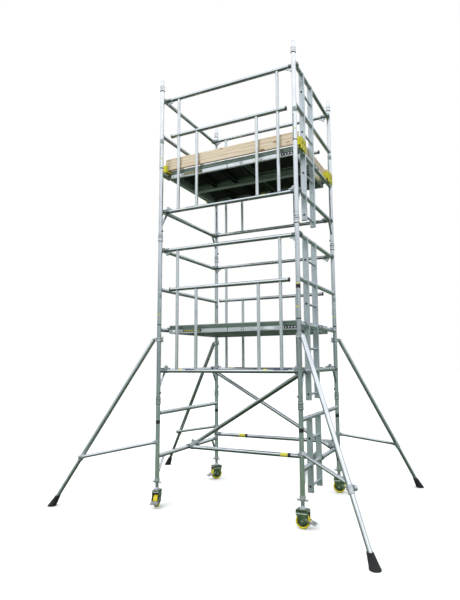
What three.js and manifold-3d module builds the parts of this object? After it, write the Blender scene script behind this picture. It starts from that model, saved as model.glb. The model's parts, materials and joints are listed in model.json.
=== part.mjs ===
// A mobile tower scaffold: three lifts of end frames, two decked platforms, guardrail panels,
// braces, toe boards, four stabilisers and four braked castors on adjustable legs.
// Millimetres. X runs along the platforms, Y across the end frames, Z is up.
// While it is built, Z is measured from the bottom of the base frames' legs.
// At the end the tower is moved so that its origin is at the bottom centre of its box.
import * as THREE from 'three';
import { mergeVertices } from 'three/addons/utils/BufferGeometryUtils.js';
import Module from 'manifold-3d';

const wasm = await Module();
wasm.setup();

// ---- Driving dimensions -------------------------------------------------------------------
const BAY_LENGTH = 1800; // leg axis to leg axis along X
const FRAME_WIDTH = 1450; // leg axis to leg axis along Y
const RUNG_PITCH = 500;
const LOWEST_RUNG = 250;
const GROUND = -320;
const GAP = 0.3; // left between pieces that rest on each other

const LEG_RADIUS = 25.4;
const LEG_BORE_RADIUS = 23.4;
const SPIGOT_RADIUS = 22.8;
const SPIGOT_HEIGHT = 70;
const COLLAR_RADIUS = 31;
const COLLAR_HEIGHT = 70;
const RUNG_RADIUS = 25;
const KNEE_RADIUS = 14;
const KNEE_INSET = 125;
const KNEE_DROP = 185;

const LIFTS = [
  { name: 'base', bottom: 0, top: 930, rungs: [0, 1], bore: 620, stiles: [-40, 750] },
  { name: 'middle', bottom: 930, top: 2930, rungs: [2, 3, 4, 5], bore: 110, stiles: [930, 2750] },
  { name: 'top', bottom: 2930, top: 4930, rungs: [6, 7, 8, 9], bore: 110, stiles: [2955, 4750] },
];

const LADDER_STILES = [-447.5, -127.5]; // centre of each stile, along Y
const STILE_DEPTH = 65;
const STILE_WIDTH = 25;
const LADDER_RUNG_RADIUS = 14;
const LADDER_RUNG_RISE = 65; // lowest ladder rung above the stiles' foot

const RAIL_RADIUS = 23;
const BAR_RADIUS = 19;
const GUARDRAIL_Y = 650;
const MID_RAIL_REACH = 790;
const BAR_SHIFT = -12; // mid rails and bars sit a little off the middle
const OUTER_BAR_X = 680;
const INNER_BAR_X = 410;
const CLAW_BORE = 26.2;
const CLAW_RADIUS = 36;
const CLAW_WIDTH = 36;
const CLAW_REACH = 870; // where a rail ends inside its claw

const DECK_REACH = 840;
const DECK_WIDTH = 592;
const DECK_RISE = 55; // deck surface above the rungs' axis
const DECK_DEPTH = 100;
const BOARD_THICKNESS = 12;
const BEAM_WIDTH = 30;
const END_BEAM_WIDTH = 25;
const CROSS_BEAMS = [-500, -180, 130]; // centre of each, along X
const CROSS_BEAM_HALF = 18;
const CROSS_BEAM_LIFT = 30; // above the side beams' foot
const DECK_CENTRE = 300; // either side of the middle
const HOOK_OFFSET = 230;
const HOOK_RADIUS = 33;
const HOOK_WIDTH = 40;
const TONGUE = [-15, 20]; // a hook's tongue, below and above its rung's axis
const HATCH_X = [150, 780];
const HATCH_WIDTH = 500;
const LID_CLEARANCE = 2;
const LID_THICKNESS = 11.5;
const DECK_LEVELS = [
  { name: 'lower', rung: 3 },
  { name: 'upper', rung: 7 },
];

const TOE_BOARD_HEIGHT = 150;
const TOE_BOARD_THICKNESS = 25;
const END_BOARD_THICKNESS = 22;
const SIDE_BOARD_REACH = 905;
const SIDE_BOARD_Y = 602; // inner face
const END_BOARD_REACH = 598;
const BOARD_LIFT = 7; // toe boards' foot above the deck
const CLIP_X = { inner: 866, skirt: 935, outer: 952 };
const CLIP_Y = [482, 655];
const CLIP_HEIGHT = 92;
const CLIP_SKIRT_DROP = 50;
const CLIP_FLOOR = 26; // below the board's slot

const BRACE_RADIUS = 25;
const BRACE_START = 36; // from a rung's axis to the end of the tube, within the claw
const BRACES = [
  { name: 'front_horizontal_brace', from: [-900, -40, 250], to: [900, -60, 250], mouth: 'down' },
  { name: 'front_diagonal_brace', from: [-900, 28, 250], to: [900, -570, 1250], mouth: 'out' },
  { name: 'back_diagonal_brace', from: [-900, 570, 1250], to: [900, 530, 250], mouth: 'out' },
];
const LEG_BRACE_HEIGHT = 310;

const ADJUSTER_RADIUS = 19;
const ADJUSTER_TOP = 430;
const ADJUSTER_FOOT = -125;
const ADJUSTER_FLANGE_RADIUS = 30;
const ADJUSTER_FLANGE_HEIGHT = 13;
const NUT_RADIUS = 31;
const NUT_BORE = 20;
const NUT_HEIGHT = 56;
const NUT_HANDLE_REACH = 62;
const NUT_HANDLE_HEIGHT = -44;
const NUT_HANDLE_HALF = [7, 8]; // across and up
const STEM_RADIUS = 11.2;
const STEM_BORE = 12.2;
const STEM_TOP = -75;

const WHEEL_RADIUS = 75;
const AXLE_RADIUS = 6;
const HUB_BORE = 6.8;
const HEAD_TOP = -125.5;
const HEAD_BOTTOM = -150;
const HEAD_LENGTH = 130;
const RACE_RADIUS = 36;
const CHEEK_INNER = 36;
const CHEEK_OUTER = 41;
const CHEEK_TIP = [28, -22]; // half its width and its height at the foot, from the axle
const CHEEK_BACK_CORNER = 30; // height above the axle
const CHEEK_FRONT_CORNER = 4;
const WHEEL_OUTLINE = [ // radius and distance from the middle: boss, web, tyre
  [HUB_BORE, -31], [20, -31], [22, -20], [56, -20], [67, -25], [WHEEL_RADIUS, -15],
];
const PEDAL_PIVOT = [48, -222];
const PEDAL_OUTLINE = [[-14, -8], [36, -30], [94, -48], [94, -42], [36, -18], [4, 14], [-14, 8]];
const PEDAL_ARM_LENGTH = 36; // before the treadle joins the two arms
const PEDAL_ARM_INNER = 42;
const PEDAL_ARM_OUTER = 47;

const STABILISER_TOP = 1630;
const STABILISER_ARM_HEIGHT = 410;
const STABILISER_TUBE_RADIUS = 25.4;
const STABILISER_BORE = 22.8;
const STABILISER_BORE_DEPTH = 900;
const FOOT_TUBE_RADIUS = 21.8;
const FOOT_TUBE_OVERLAP = 480;
const COLLAR_FRACTION = 0.71; // where the arm meets the tube, along its length
const SLEEVE_RADIUS = 31; // round the tube where the arm meets it
const SLEEVE_HALF = 30;
const TUBE_PAST_SLEEVE = 45;
const STABILISER_HEAD_X = 62; // the tube's upper end, out from the leg's axis
const PIVOT_OFFSET = 51; // arm pivot beside the tube
const PIN_RADIUS = 11;
const EYE_RADIUS = 25;
const EYE_BORE = 12;
const EYE_HALF = 15;
const ARM_RADIUS = 19;
const LUG = { near: 28, far: 70, halfWidth: 15, halfHeight: 20 };
const COUPLER_BORE = 27;
const COUPLER_RADIUS = 38;
const COUPLER_HEIGHT = 50;
const RUBBER_HEIGHT = 120;
const RUBBER_TOP_RADIUS = 31;
const RUBBER_SOLE_RADIUS = 50;

// side: which end frame, row: front or back; castor: the way the pedal points;
// splay and reach: the stabiliser's heading and its foot's distance from the leg
const CORNERS = [
  { name: 'front_left', side: -1, row: -1, castor: -70, splay: -157, reach: 1255 },
  { name: 'front_right', side: 1, row: -1, castor: 0, splay: -39, reach: 1080 },
  { name: 'back_left', side: -1, row: 1, castor: -125, splay: 157, reach: 1300 },
  { name: 'back_right', side: 1, row: 1, castor: 10, splay: 37, reach: 1140 },
];

// ---- Finishes ------------------------------------------------------------------------------
const FINISHES = {
  aluminium: { color: 0xc9cdd0, roughness: 0.38, metalness: 0.9 },
  plywood: { color: 0x2e2c29, roughness: 0.75, metalness: 0 },
  softwood: { color: 0xc9b79f, roughness: 0.8, metalness: 0 },
  yellow_plastic: { color: 0xe3d52c, roughness: 0.5, metalness: 0 },
  cast_metal: { color: 0xb4bcbd, roughness: 0.45, metalness: 0.9 },
  castor_steel: { color: 0x3c4a2a, roughness: 0.5, metalness: 0.6 },
  yellow_tyre: { color: 0xd8c520, roughness: 0.6, metalness: 0 },
};

// ---- Solids --------------------------------------------------------------------------------
/** The closed solid inside any closed geometry. */
function solid(geometry) {
  geometry.deleteAttribute('normal');
  geometry.deleteAttribute('uv');
  const merged = mergeVertices(geometry, 1e-3);
  const corners = merged.index.array;
  const kept = [];
  for (let i = 0; i < corners.length; i += 3) {
    const [a, b, c] = [corners[i], corners[i + 1], corners[i + 2]];
    if (a !== b && b !== c && c !== a) kept.push(a, b, c);
  }
  return new wasm.Manifold(new wasm.Mesh({
    numProp: 3,
    vertProperties: new Float32Array(merged.attributes.position.array),
    triVerts: new Uint32Array(kept),
  }));
}

function join(...bodies) {
  return bodies.flat().reduce((whole, next) => whole.add(next));
}

function box([x0, x1], [y0, y1], [z0, z1]) {
  const geometry = new THREE.BoxGeometry(x1 - x0, y1 - y0, z1 - z0);
  geometry.translate((x0 + x1) / 2, (y0 + y1) / 2, (z0 + z1) / 2);
  return solid(geometry);
}

/** A round bar between two points. */
function rod(from, to, radius, sides) {
  const start = new THREE.Vector3(...from);
  const end = new THREE.Vector3(...to);
  const axis = end.clone().sub(start);
  const geometry = new THREE.CylinderGeometry(radius, radius, axis.length(), sides);
  const turn = new THREE.Quaternion().setFromUnitVectors(new THREE.Vector3(0, 1, 0), axis.normalize());
  geometry.applyQuaternion(turn);
  geometry.translate(...start.add(end).multiplyScalar(0.5).toArray());
  return solid(geometry);
}

/** An outline in a plane, thickened along its local Z and placed by its local X and Z directions. */
function plate(outline, thickness, at, localX, localZ, curveSegments = 4) {
  const geometry = new THREE.ExtrudeGeometry(outline, {
    depth: thickness, bevelEnabled: false, curveSegments,
  });
  geometry.translate(0, 0, -thickness / 2);
  const z = new THREE.Vector3(...localZ).normalize();
  const x = new THREE.Vector3(...localX).normalize();
  const y = new THREE.Vector3().crossVectors(z, x);
  geometry.applyMatrix4(new THREE.Matrix4().makeBasis(x, y, z));
  geometry.translate(...at);
  return solid(geometry);
}

/** Part of a ring round an axis, open towards its mouth. */
function claw({ at, axis, mouth, halfOpening, bore, radius, width }) {
  const outline = new THREE.Shape();
  outline.absarc(0, 0, radius, halfOpening, 2 * Math.PI - halfOpening, false);
  outline.absarc(0, 0, bore, 2 * Math.PI - halfOpening, halfOpening, true);
  outline.closePath();
  return plate(outline, width, at, mouth, axis);
}

/** A mesh of one sub-part with its own material. */
function part(name, body, finish) {
  const { vertProperties, triVerts } = body.getMesh();
  const geometry = new THREE.BufferGeometry();
  geometry.setAttribute('position', new THREE.BufferAttribute(vertProperties, 3));
  geometry.setIndex(new THREE.BufferAttribute(triVerts, 1));
  geometry.computeVertexNormals();
  const mesh = new THREE.Mesh(geometry, new THREE.MeshStandardMaterial(FINISHES[finish]));
  mesh.name = name;
  return mesh;
}

function rungHeight(index) {
  return LOWEST_RUNG + index * RUNG_PITCH;
}

// ---- End frames ----------------------------------------------------------------------------
function frameLeg(x, y, lift) {
  const foot = lift.bottom === 0 ? 0 : lift.bottom + GAP;
  const bored = rod([x, y, foot], [x, y, lift.top], LEG_RADIUS, 10)
    .subtract(rod([x, y, foot - 1], [x, y, lift.bottom + lift.bore], LEG_BORE_RADIUS, 10));
  const collar = rod([x, y, lift.top - COLLAR_HEIGHT], [x, y, lift.top], COLLAR_RADIUS, 10);
  const spigot = rod([x, y, lift.top - 1], [x, y, lift.top + SPIGOT_HEIGHT], SPIGOT_RADIUS, 10);
  return join(bored, collar, spigot);
}

/** The ladder built into a frame: two box stiles with thinner rungs between the frame's own. */
function frameLadder(x, [foot, head]) {
  const stiles = LADDER_STILES.map((y) => box(
    [x - STILE_DEPTH / 2, x + STILE_DEPTH / 2],
    [y - STILE_WIDTH / 2, y + STILE_WIDTH / 2],
    [foot === LIFTS[1].bottom ? foot + GAP : foot, head],
  ));
  const rungs = [];
  const [near, far] = LADDER_STILES;
  for (let z = foot + LADDER_RUNG_RISE; z < head; z += RUNG_PITCH) {
    rungs.push(rod([x, near - STILE_WIDTH / 2, z], [x, far + STILE_WIDTH / 2, z], LADDER_RUNG_RADIUS, 6));
  }
  return join(stiles, rungs);
}

function endFrame(lift, side) {
  const x = side * BAY_LENGTH / 2;
  const halfWidth = FRAME_WIDTH / 2;
  const wall = (LEG_RADIUS + LEG_BORE_RADIUS) / 2;
  const pieces = [-1, 1].map((row) => frameLeg(x, row * halfWidth, lift));
  for (const index of lift.rungs) {
    const z = rungHeight(index);
    pieces.push(rod([x, -halfWidth + wall, z], [x, halfWidth - wall, z], RUNG_RADIUS, 8));
  }
  const low = rungHeight(lift.rungs[0]);
  for (const row of [-1, 1]) {
    const inner = [x, row * (halfWidth - KNEE_INSET), low];
    const outer = [x, row * (halfWidth - wall), low - KNEE_DROP];
    pieces.push(rod(inner, outer, KNEE_RADIUS, 6));
  }
  if (side > 0) pieces.push(frameLadder(x, lift.stiles));
  const clearBore = [-1, 1].map((row) => rod(
    [x, row * halfWidth, lift.bottom - 1],
    [x, row * halfWidth, lift.bottom + lift.bore],
    LEG_BORE_RADIUS - 0.2,
    10,
  ));
  const whole = join(pieces).subtract(join(clearBore));
  const name = `${lift.name}_${side > 0 ? 'ladder' : 'plain'}_frame`;
  return part(name, whole, 'aluminium');
}

// ---- Guardrail panels ----------------------------------------------------------------------
function guardrail(name, row, lowestRung) {
  const y = row * GUARDRAIL_Y;
  const low = rungHeight(lowestRung);
  const mid = rungHeight(lowestRung + 2);
  const high = rungHeight(lowestRung + 3);
  const midEnds = [-1, 1].map((side) => [side * MID_RAIL_REACH + BAR_SHIFT, y, mid]);
  const pieces = [rod(...midEnds, RAIL_RADIUS, 8)];
  for (const z of [low, high]) {
    pieces.push(rod([-CLAW_REACH, y, z], [CLAW_REACH, y, z], RAIL_RADIUS, 8));
    for (const side of [-1, 1]) {
      pieces.push(claw({
        at: [side * BAY_LENGTH / 2, y, z],
        axis: [0, 1, 0],
        mouth: [0, 0, -1],
        halfOpening: Math.PI / 3,
        bore: CLAW_BORE,
        radius: CLAW_RADIUS,
        width: CLAW_WIDTH,
      }));
    }
  }
  for (const side of [-1, 1]) {
    for (const [reach, top] of [[OUTER_BAR_X, high], [INNER_BAR_X, mid]]) {
      const x = side * reach + BAR_SHIFT;
      pieces.push(rod([x, y, low], [x, y, top], BAR_RADIUS, 8));
    }
  }
  return part(name, join(pieces), 'aluminium');
}

// ---- Decks and their hatches ---------------------------------------------------------------
function deckHook(side, y, rungZ) {
  const ring = claw({
    at: [side * BAY_LENGTH / 2, y, rungZ],
    axis: [0, 1, 0],
    mouth: [0, 0, -1],
    halfOpening: Math.PI / 2,
    bore: CLAW_BORE,
    radius: HOOK_RADIUS,
    width: HOOK_WIDTH,
  });
  const reach = [side * (DECK_REACH - 5), side * (BAY_LENGTH / 2 - 28)].sort((a, b) => a - b);
  const tongue = box(reach, [y - HOOK_WIDTH / 2, y + HOOK_WIDTH / 2], [rungZ + TONGUE[0], rungZ + TONGUE[1]]);
  return join(ring, tongue);
}

function deck(level, row) {
  const rungZ = rungHeight(level.rung);
  const top = rungZ + DECK_RISE;
  const under = top - BOARD_THICKNESS;
  const foot = top - DECK_DEPTH;
  const middle = row * DECK_CENTRE;
  const edges = [middle - DECK_WIDTH / 2, middle + DECK_WIDTH / 2];
  const hatched = row < 0;
  let board = box([-DECK_REACH, DECK_REACH], edges, [under, top]);
  if (hatched) {
    const opening = [middle - HATCH_WIDTH / 2, middle + HATCH_WIDTH / 2];
    board = board.subtract(box(HATCH_X, opening, [under - 1, top + 1]));
  }
  const sunk = [foot, under + 1];
  const beams = [
    box([-DECK_REACH, DECK_REACH], [edges[0], edges[0] + BEAM_WIDTH], sunk),
    box([-DECK_REACH, DECK_REACH], [edges[1] - BEAM_WIDTH, edges[1]], sunk),
    box([-DECK_REACH, -DECK_REACH + END_BEAM_WIDTH], edges, sunk),
    box([DECK_REACH - END_BEAM_WIDTH, DECK_REACH], edges, sunk),
  ];
  for (const x of CROSS_BEAMS) {
    const head = under + (x > 0 && hatched ? 0 : 1);
    beams.push(box([x - CROSS_BEAM_HALF, x + CROSS_BEAM_HALF], edges, [foot + CROSS_BEAM_LIFT, head]));
  }
  const hooks = [-1, 1].flatMap((side) => [-1, 1].map(
    (edge) => deckHook(side, middle + edge * HOOK_OFFSET, rungZ),
  ));
  const name = `${level.name}_${row < 0 ? 'front' : 'back'}_deck`;
  return part(name, join(board, beams, hooks), 'plywood');
}

function hatchLid(level) {
  const top = rungHeight(level.rung) + DECK_RISE;
  const half = HATCH_WIDTH / 2 - LID_CLEARANCE;
  const [from, to] = HATCH_X;
  const lid = box(
    [from + LID_CLEARANCE, to - LID_CLEARANCE],
    [-DECK_CENTRE - half, -DECK_CENTRE + half],
    [top - LID_THICKNESS, top],
  );
  return part(`${level.name}_hatch_lid`, lid, 'plywood');
}

// ---- Toe boards ----------------------------------------------------------------------------
function toeBoards() {
  const foot = rungHeight(7) + DECK_RISE + BOARD_LIFT;
  const height = [foot, foot + TOE_BOARD_HEIGHT];
  const inner = SIDE_BOARD_Y;
  const boards = [];
  for (const [name, row] of [['front', -1], ['back', 1]]) {
    const y = [row * inner, row * (inner + TOE_BOARD_THICKNESS)].sort((a, b) => a - b);
    boards.push(part(`${name}_toe_board`, box([-SIDE_BOARD_REACH, SIDE_BOARD_REACH], y, height), 'softwood'));
  }
  for (const [name, side] of [['left', -1], ['right', 1]]) {
    const near = DECK_REACH + 2;
    const x = [side * near, side * (near + END_BOARD_THICKNESS)].sort((a, b) => a - b);
    boards.push(part(`${name}_toe_board`, box(x, [-END_BOARD_REACH, END_BOARD_REACH], height), 'softwood'));
  }
  return boards;
}

/** The plastic corner that sits on a rung and holds a side board's end. */
function toeClip(corner) {
  const base = rungHeight(7) + HOOK_RADIUS + 2;
  const { inner, skirt: skirtX, outer } = CLIP_X;
  const across = ([low, high], sign) => [sign * low, sign * high].sort((a, b) => a - b);
  const y = across(CLIP_Y, corner.row);
  const body = box(across([inner, outer], corner.side), y, [base, base + CLIP_HEIGHT]);
  const skirt = box(across([skirtX, outer], corner.side), y, [base - CLIP_SKIRT_DROP, base + 1]);
  const slot = box(
    across([inner - 1, SIDE_BOARD_REACH + 1], corner.side),
    across([SIDE_BOARD_Y - 1, SIDE_BOARD_Y + TOE_BOARD_THICKNESS + 1], corner.row),
    [base + CLIP_FLOOR, base + CLIP_HEIGHT + 1],
  );
  return part(`${corner.name}_toe_clip`, join(body, skirt).subtract(slot), 'yellow_plastic');
}

// ---- Braces --------------------------------------------------------------------------------
function clawTip(end, away, direction) {
  return [0, 1, 2].map((i) => end[i] + away * direction[i]);
}

function rungBrace({ name, from, to, mouth }) {
  const direction = new THREE.Vector3(...to).sub(new THREE.Vector3(...from)).normalize();
  const along = direction.toArray();
  const flat = new THREE.Vector3(direction.x, 0, direction.z).normalize();
  const ends = [clawTip(from, BRACE_START, along), clawTip(to, -BRACE_START, along)];
  const pieces = [rod(...ends, BRACE_RADIUS, 8)];
  for (const [end, sign] of [[from, -1], [to, 1]]) {
    pieces.push(claw({
      at: end,
      axis: [0, 1, 0],
      mouth: mouth === 'down' ? [0, 0, -1] : flat.clone().multiplyScalar(sign).toArray(),
      halfOpening: Math.PI / 3,
      bore: CLAW_BORE,
      radius: CLAW_RADIUS,
      width: CLAW_WIDTH,
    }));
  }
  return part(name, join(pieces), 'aluminium');
}

function legBrace() {
  const y = FRAME_WIDTH / 2;
  const z = LEG_BRACE_HEIGHT;
  const pieces = [rod([-CLAW_REACH, y, z], [CLAW_REACH, y, z], BRACE_RADIUS, 8)];
  for (const side of [-1, 1]) {
    pieces.push(claw({
      at: [side * BAY_LENGTH / 2, y, z],
      axis: [0, 0, 1],
      mouth: [side, 0, 0],
      halfOpening: Math.PI / 3,
      bore: CLAW_BORE + 0.4,
      radius: CLAW_RADIUS,
      width: CLAW_WIDTH,
    }));
  }
  return part('back_horizontal_brace', join(pieces), 'aluminium');
}

// ---- Adjustable legs and castors -----------------------------------------------------------
function adjustableLeg(corner) {
  const flange = rod(
    [0, 0, ADJUSTER_FOOT],
    [0, 0, ADJUSTER_FOOT + ADJUSTER_FLANGE_HEIGHT],
    ADJUSTER_FLANGE_RADIUS,
    16,
  );
  const tube = rod([0, 0, ADJUSTER_FOOT], [0, 0, ADJUSTER_TOP], ADJUSTER_RADIUS, 16);
  const socket = rod([0, 0, ADJUSTER_FOOT - 1], [0, 0, STEM_TOP + 2], STEM_BORE, 16);
  return part(`${corner.name}_adjustable_leg`, join(tube, flange).subtract(socket), 'cast_metal');
}

function legNut(corner) {
  const barrel = rod([0, 0, -NUT_HEIGHT - GAP], [0, 0, -GAP], NUT_RADIUS, 16);
  const [across, up] = NUT_HANDLE_HALF;
  const handles = box(
    [-NUT_HANDLE_REACH, NUT_HANDLE_REACH],
    [-across, across],
    [NUT_HANDLE_HEIGHT - up, NUT_HANDLE_HEIGHT + up],
  );
  const bore = rod([0, 0, -NUT_HEIGHT - 1], [0, 0, 1], NUT_BORE, 16);
  return part(`${corner.name}_leg_nut`, join(barrel, handles).subtract(bore), 'cast_metal');
}

function castorCheek(side) {
  const axleZ = GROUND + WHEEL_RADIUS;
  const half = HEAD_LENGTH / 2;
  const [tipHalf, tipZ] = CHEEK_TIP;
  const outline = new THREE.Shape([
    new THREE.Vector2(-half, HEAD_TOP - 6),
    new THREE.Vector2(-half, axleZ + CHEEK_BACK_CORNER),
    new THREE.Vector2(-tipHalf, axleZ + tipZ),
    new THREE.Vector2(tipHalf, axleZ + tipZ),
    new THREE.Vector2(half, axleZ + CHEEK_FRONT_CORNER),
    new THREE.Vector2(half, HEAD_TOP - 6),
  ]);
  const y = side * (CHEEK_INNER + CHEEK_OUTER) / 2;
  return plate(outline, CHEEK_OUTER - CHEEK_INNER, [0, y, 0], [1, 0, 0], [0, -1, 0]);
}

/** Swivel head, stem, fork cheeks and axle, which all turn about the leg's axis. */
function castorFork(corner) {
  const axleZ = GROUND + WHEEL_RADIUS;
  const half = HEAD_LENGTH / 2;
  const head = box([-half, half], [-CHEEK_OUTER, CHEEK_OUTER], [HEAD_BOTTOM, HEAD_TOP - 5]);
  const race = rod([0, 0, HEAD_BOTTOM], [0, 0, HEAD_TOP], RACE_RADIUS, 16);
  const stem = rod([0, 0, HEAD_BOTTOM], [0, 0, STEM_TOP], STEM_RADIUS, 16);
  const axle = rod([0, -CHEEK_OUTER, axleZ], [0, CHEEK_OUTER, axleZ], AXLE_RADIUS, 12);
  const body = join(head, race, stem, axle, castorCheek(-1), castorCheek(1));
  return part(`${corner.name}_castor_fork`, body, 'castor_steel');
}

function castorWheel(corner) {
  const mirrored = WHEEL_OUTLINE.map(([radius, y]) => [radius, -y]).reverse();
  const closed = [...WHEEL_OUTLINE, ...mirrored, WHEEL_OUTLINE[0]];
  const profile = closed.map(([radius, y]) => new THREE.Vector2(radius, y));
  const geometry = new THREE.LatheGeometry(profile, 20);
  geometry.translate(0, 0, GROUND + WHEEL_RADIUS);
  return part(`${corner.name}_castor_wheel`, solid(geometry), 'yellow_tyre');
}

/** A U-shaped pedal: an arm outside each cheek, joined by a treadle beyond the wheel. */
function brakePedal(corner) {
  const [pivotX, pivotZ] = PEDAL_PIVOT;
  const outline = new THREE.Shape(PEDAL_OUTLINE.map(([x, z]) => new THREE.Vector2(x, z)));
  const width = 2 * PEDAL_ARM_OUTER;
  const bent = plate(outline, width, [pivotX, 0, pivotZ], [1, 0, 0], [0, -1, 0]);
  const inside = box(
    [pivotX - 20, pivotX + PEDAL_ARM_LENGTH],
    [-PEDAL_ARM_INNER, PEDAL_ARM_INNER],
    [pivotZ - 60, pivotZ + 20],
  );
  return part(`${corner.name}_brake_pedal`, bent.subtract(inside), 'cast_metal');
}

function castorSet(corner) {
  const leg = new THREE.Group();
  leg.position.set(corner.side * BAY_LENGTH / 2, corner.row * FRAME_WIDTH / 2, 0);
  const swivel = new THREE.Group();
  swivel.rotation.z = THREE.MathUtils.degToRad(corner.castor);
  swivel.add(castorFork(corner), castorWheel(corner), brakePedal(corner));
  leg.add(adjustableLeg(corner), legNut(corner), swivel);
  return leg;
}

// ---- Stabilisers ---------------------------------------------------------------------------
/** Points on a stabiliser's sloping tube, in its own vertical plane. */
function stabiliserLine(corner) {
  const top = new THREE.Vector3(STABILISER_HEAD_X, 0, STABILISER_TOP);
  const foot = new THREE.Vector3(corner.reach, 0, GROUND);
  const down = foot.clone().sub(top).normalize();
  const collar = top.clone().lerp(foot, COLLAR_FRACTION);
  return { top, foot, down, collar, at: (from, distance) => from.clone().addScaledVector(down, distance) };
}

function stabiliserTube(corner) {
  const { top, collar, at } = stabiliserLine(corner);
  const end = at(collar, TUBE_PAST_SLEEVE);
  const pinEnd = PIVOT_OFFSET + EYE_HALF + 5;
  const half = COUPLER_HEIGHT / 2;
  const tube = rod(top.toArray(), end.toArray(), STABILISER_TUBE_RADIUS, 10);
  const sleeve = rod(
    at(collar, -SLEEVE_HALF).toArray(),
    at(collar, SLEEVE_HALF).toArray(),
    SLEEVE_RADIUS,
    10,
  );
  const pin = rod([collar.x, 0, collar.z], [collar.x, pinEnd, collar.z], PIN_RADIUS, 16);
  const bore = rod(at(end, -STABILISER_BORE_DEPTH).toArray(), at(end, 2).toArray(), STABILISER_BORE, 10);
  const ring = rod([0, 0, STABILISER_TOP - half], [0, 0, STABILISER_TOP + half], COUPLER_RADIUS, 12);
  const lug = box(
    [LUG.near, LUG.far],
    [-LUG.halfWidth, LUG.halfWidth],
    [STABILISER_TOP - LUG.halfHeight, STABILISER_TOP + LUG.halfHeight],
  );
  const hole = rod([0, 0, STABILISER_TOP - half - 1], [0, 0, STABILISER_TOP + half + 1], COUPLER_BORE, 12);
  const body = join(tube, sleeve, pin, ring, lug).subtract(join(bore, hole));
  return part(`${corner.name}_stabiliser_tube`, body, 'aluminium');
}

/** The telescopic leg with its rubber foot, whose sole is flat on the ground. */
function stabiliserFoot(corner) {
  const { top, foot, collar, at } = stabiliserLine(corner);
  const inner = at(collar, TUBE_PAST_SLEEVE - FOOT_TUBE_OVERLAP);
  const outer = at(foot, -RUBBER_HEIGHT / 2);
  const tube = rod(inner.toArray(), outer.toArray(), FOOT_TUBE_RADIUS, 10);
  const cone = new THREE.CylinderGeometry(RUBBER_TOP_RADIUS, RUBBER_SOLE_RADIUS, RUBBER_HEIGHT, 16);
  cone.rotateX(Math.PI / 2);
  cone.translate(0, 0, RUBBER_HEIGHT / 2);
  const lean = (foot.x - top.x) / (foot.z - top.z);
  cone.applyMatrix4(new THREE.Matrix4().makeShear(0, 0, 0, 0, lean, 0));
  cone.translate(foot.x, 0, GROUND);
  return part(`${corner.name}_stabiliser_foot`, join(tube, solid(cone)), 'aluminium');
}

/** The horizontal arm from the tube's collar to an open saddle on the tower's leg. */
function stabiliserArm(corner) {
  const { collar } = stabiliserLine(corner);
  const eye = [collar.x, PIVOT_OFFSET, collar.z];
  const saddle = claw({
    at: [0, 0, STABILISER_ARM_HEIGHT],
    axis: [0, 0, 1],
    mouth: [-1, 0, 0],
    halfOpening: Math.PI / 2,
    bore: COUPLER_BORE,
    radius: COUPLER_RADIUS,
    width: COUPLER_HEIGHT,
  });
  const across = (half) => [-half, half].map((y) => [eye[0], eye[1] + y, eye[2]]);
  const tube = rod(eye, [(COUPLER_BORE + COUPLER_RADIUS) / 2, 0, STABILISER_ARM_HEIGHT], ARM_RADIUS, 8);
  const hub = rod(...across(EYE_HALF), EYE_RADIUS, 12);
  const bore = rod(...across(2 * EYE_HALF), EYE_BORE, 16);
  return part(`${corner.name}_stabiliser_arm`, join(tube, hub, saddle).subtract(bore), 'aluminium');
}

function stabiliser(corner) {
  const group = new THREE.Group();
  group.position.set(corner.side * BAY_LENGTH / 2, corner.row * FRAME_WIDTH / 2, 0);
  group.rotation.z = THREE.MathUtils.degToRad(corner.splay);
  group.add(stabiliserTube(corner), stabiliserFoot(corner), stabiliserArm(corner));
  return group;
}

// ---- The tower -----------------------------------------------------------------------------
const tower = new THREE.Group();
for (const lift of LIFTS) {
  tower.add(endFrame(lift, -1), endFrame(lift, 1));
}
for (const level of DECK_LEVELS) {
  tower.add(deck(level, -1), deck(level, 1), hatchLid(level));
}
for (const [level, lowestRung] of [['lower', 2], ['upper', 6]]) {
  tower.add(guardrail(`${level}_front_guardrail`, -1, lowestRung));
  tower.add(guardrail(`${level}_back_guardrail`, 1, lowestRung));
}
tower.add(...BRACES.map(rungBrace), legBrace(), ...toeBoards());
for (const corner of CORNERS) {
  tower.add(toeClip(corner), castorSet(corner), stabiliser(corner));
}

const bounds = new THREE.Box3().setFromObject(tower, true);
const { x: middleX, y: middleY } = bounds.getCenter(new THREE.Vector3());
tower.position.set(-middleX, -middleY, -bounds.min.z);

export default tower;
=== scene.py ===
"""The detailed look of the mobile tower scaffold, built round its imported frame.

Shapes are laid out in millimetres in the tower's own frame: X runs along the platforms, Y across
the end frames and Z up from the foot of the base frames' legs, with X = Y = 0 midway between the
four legs. Shell.place and TOWER take them to the row frame, in metres.
"""

import json
import random
from math import atan2, cos, pi, radians, sin, sqrt

import bmesh
import bpy
from mathutils import Matrix, Vector


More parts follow.
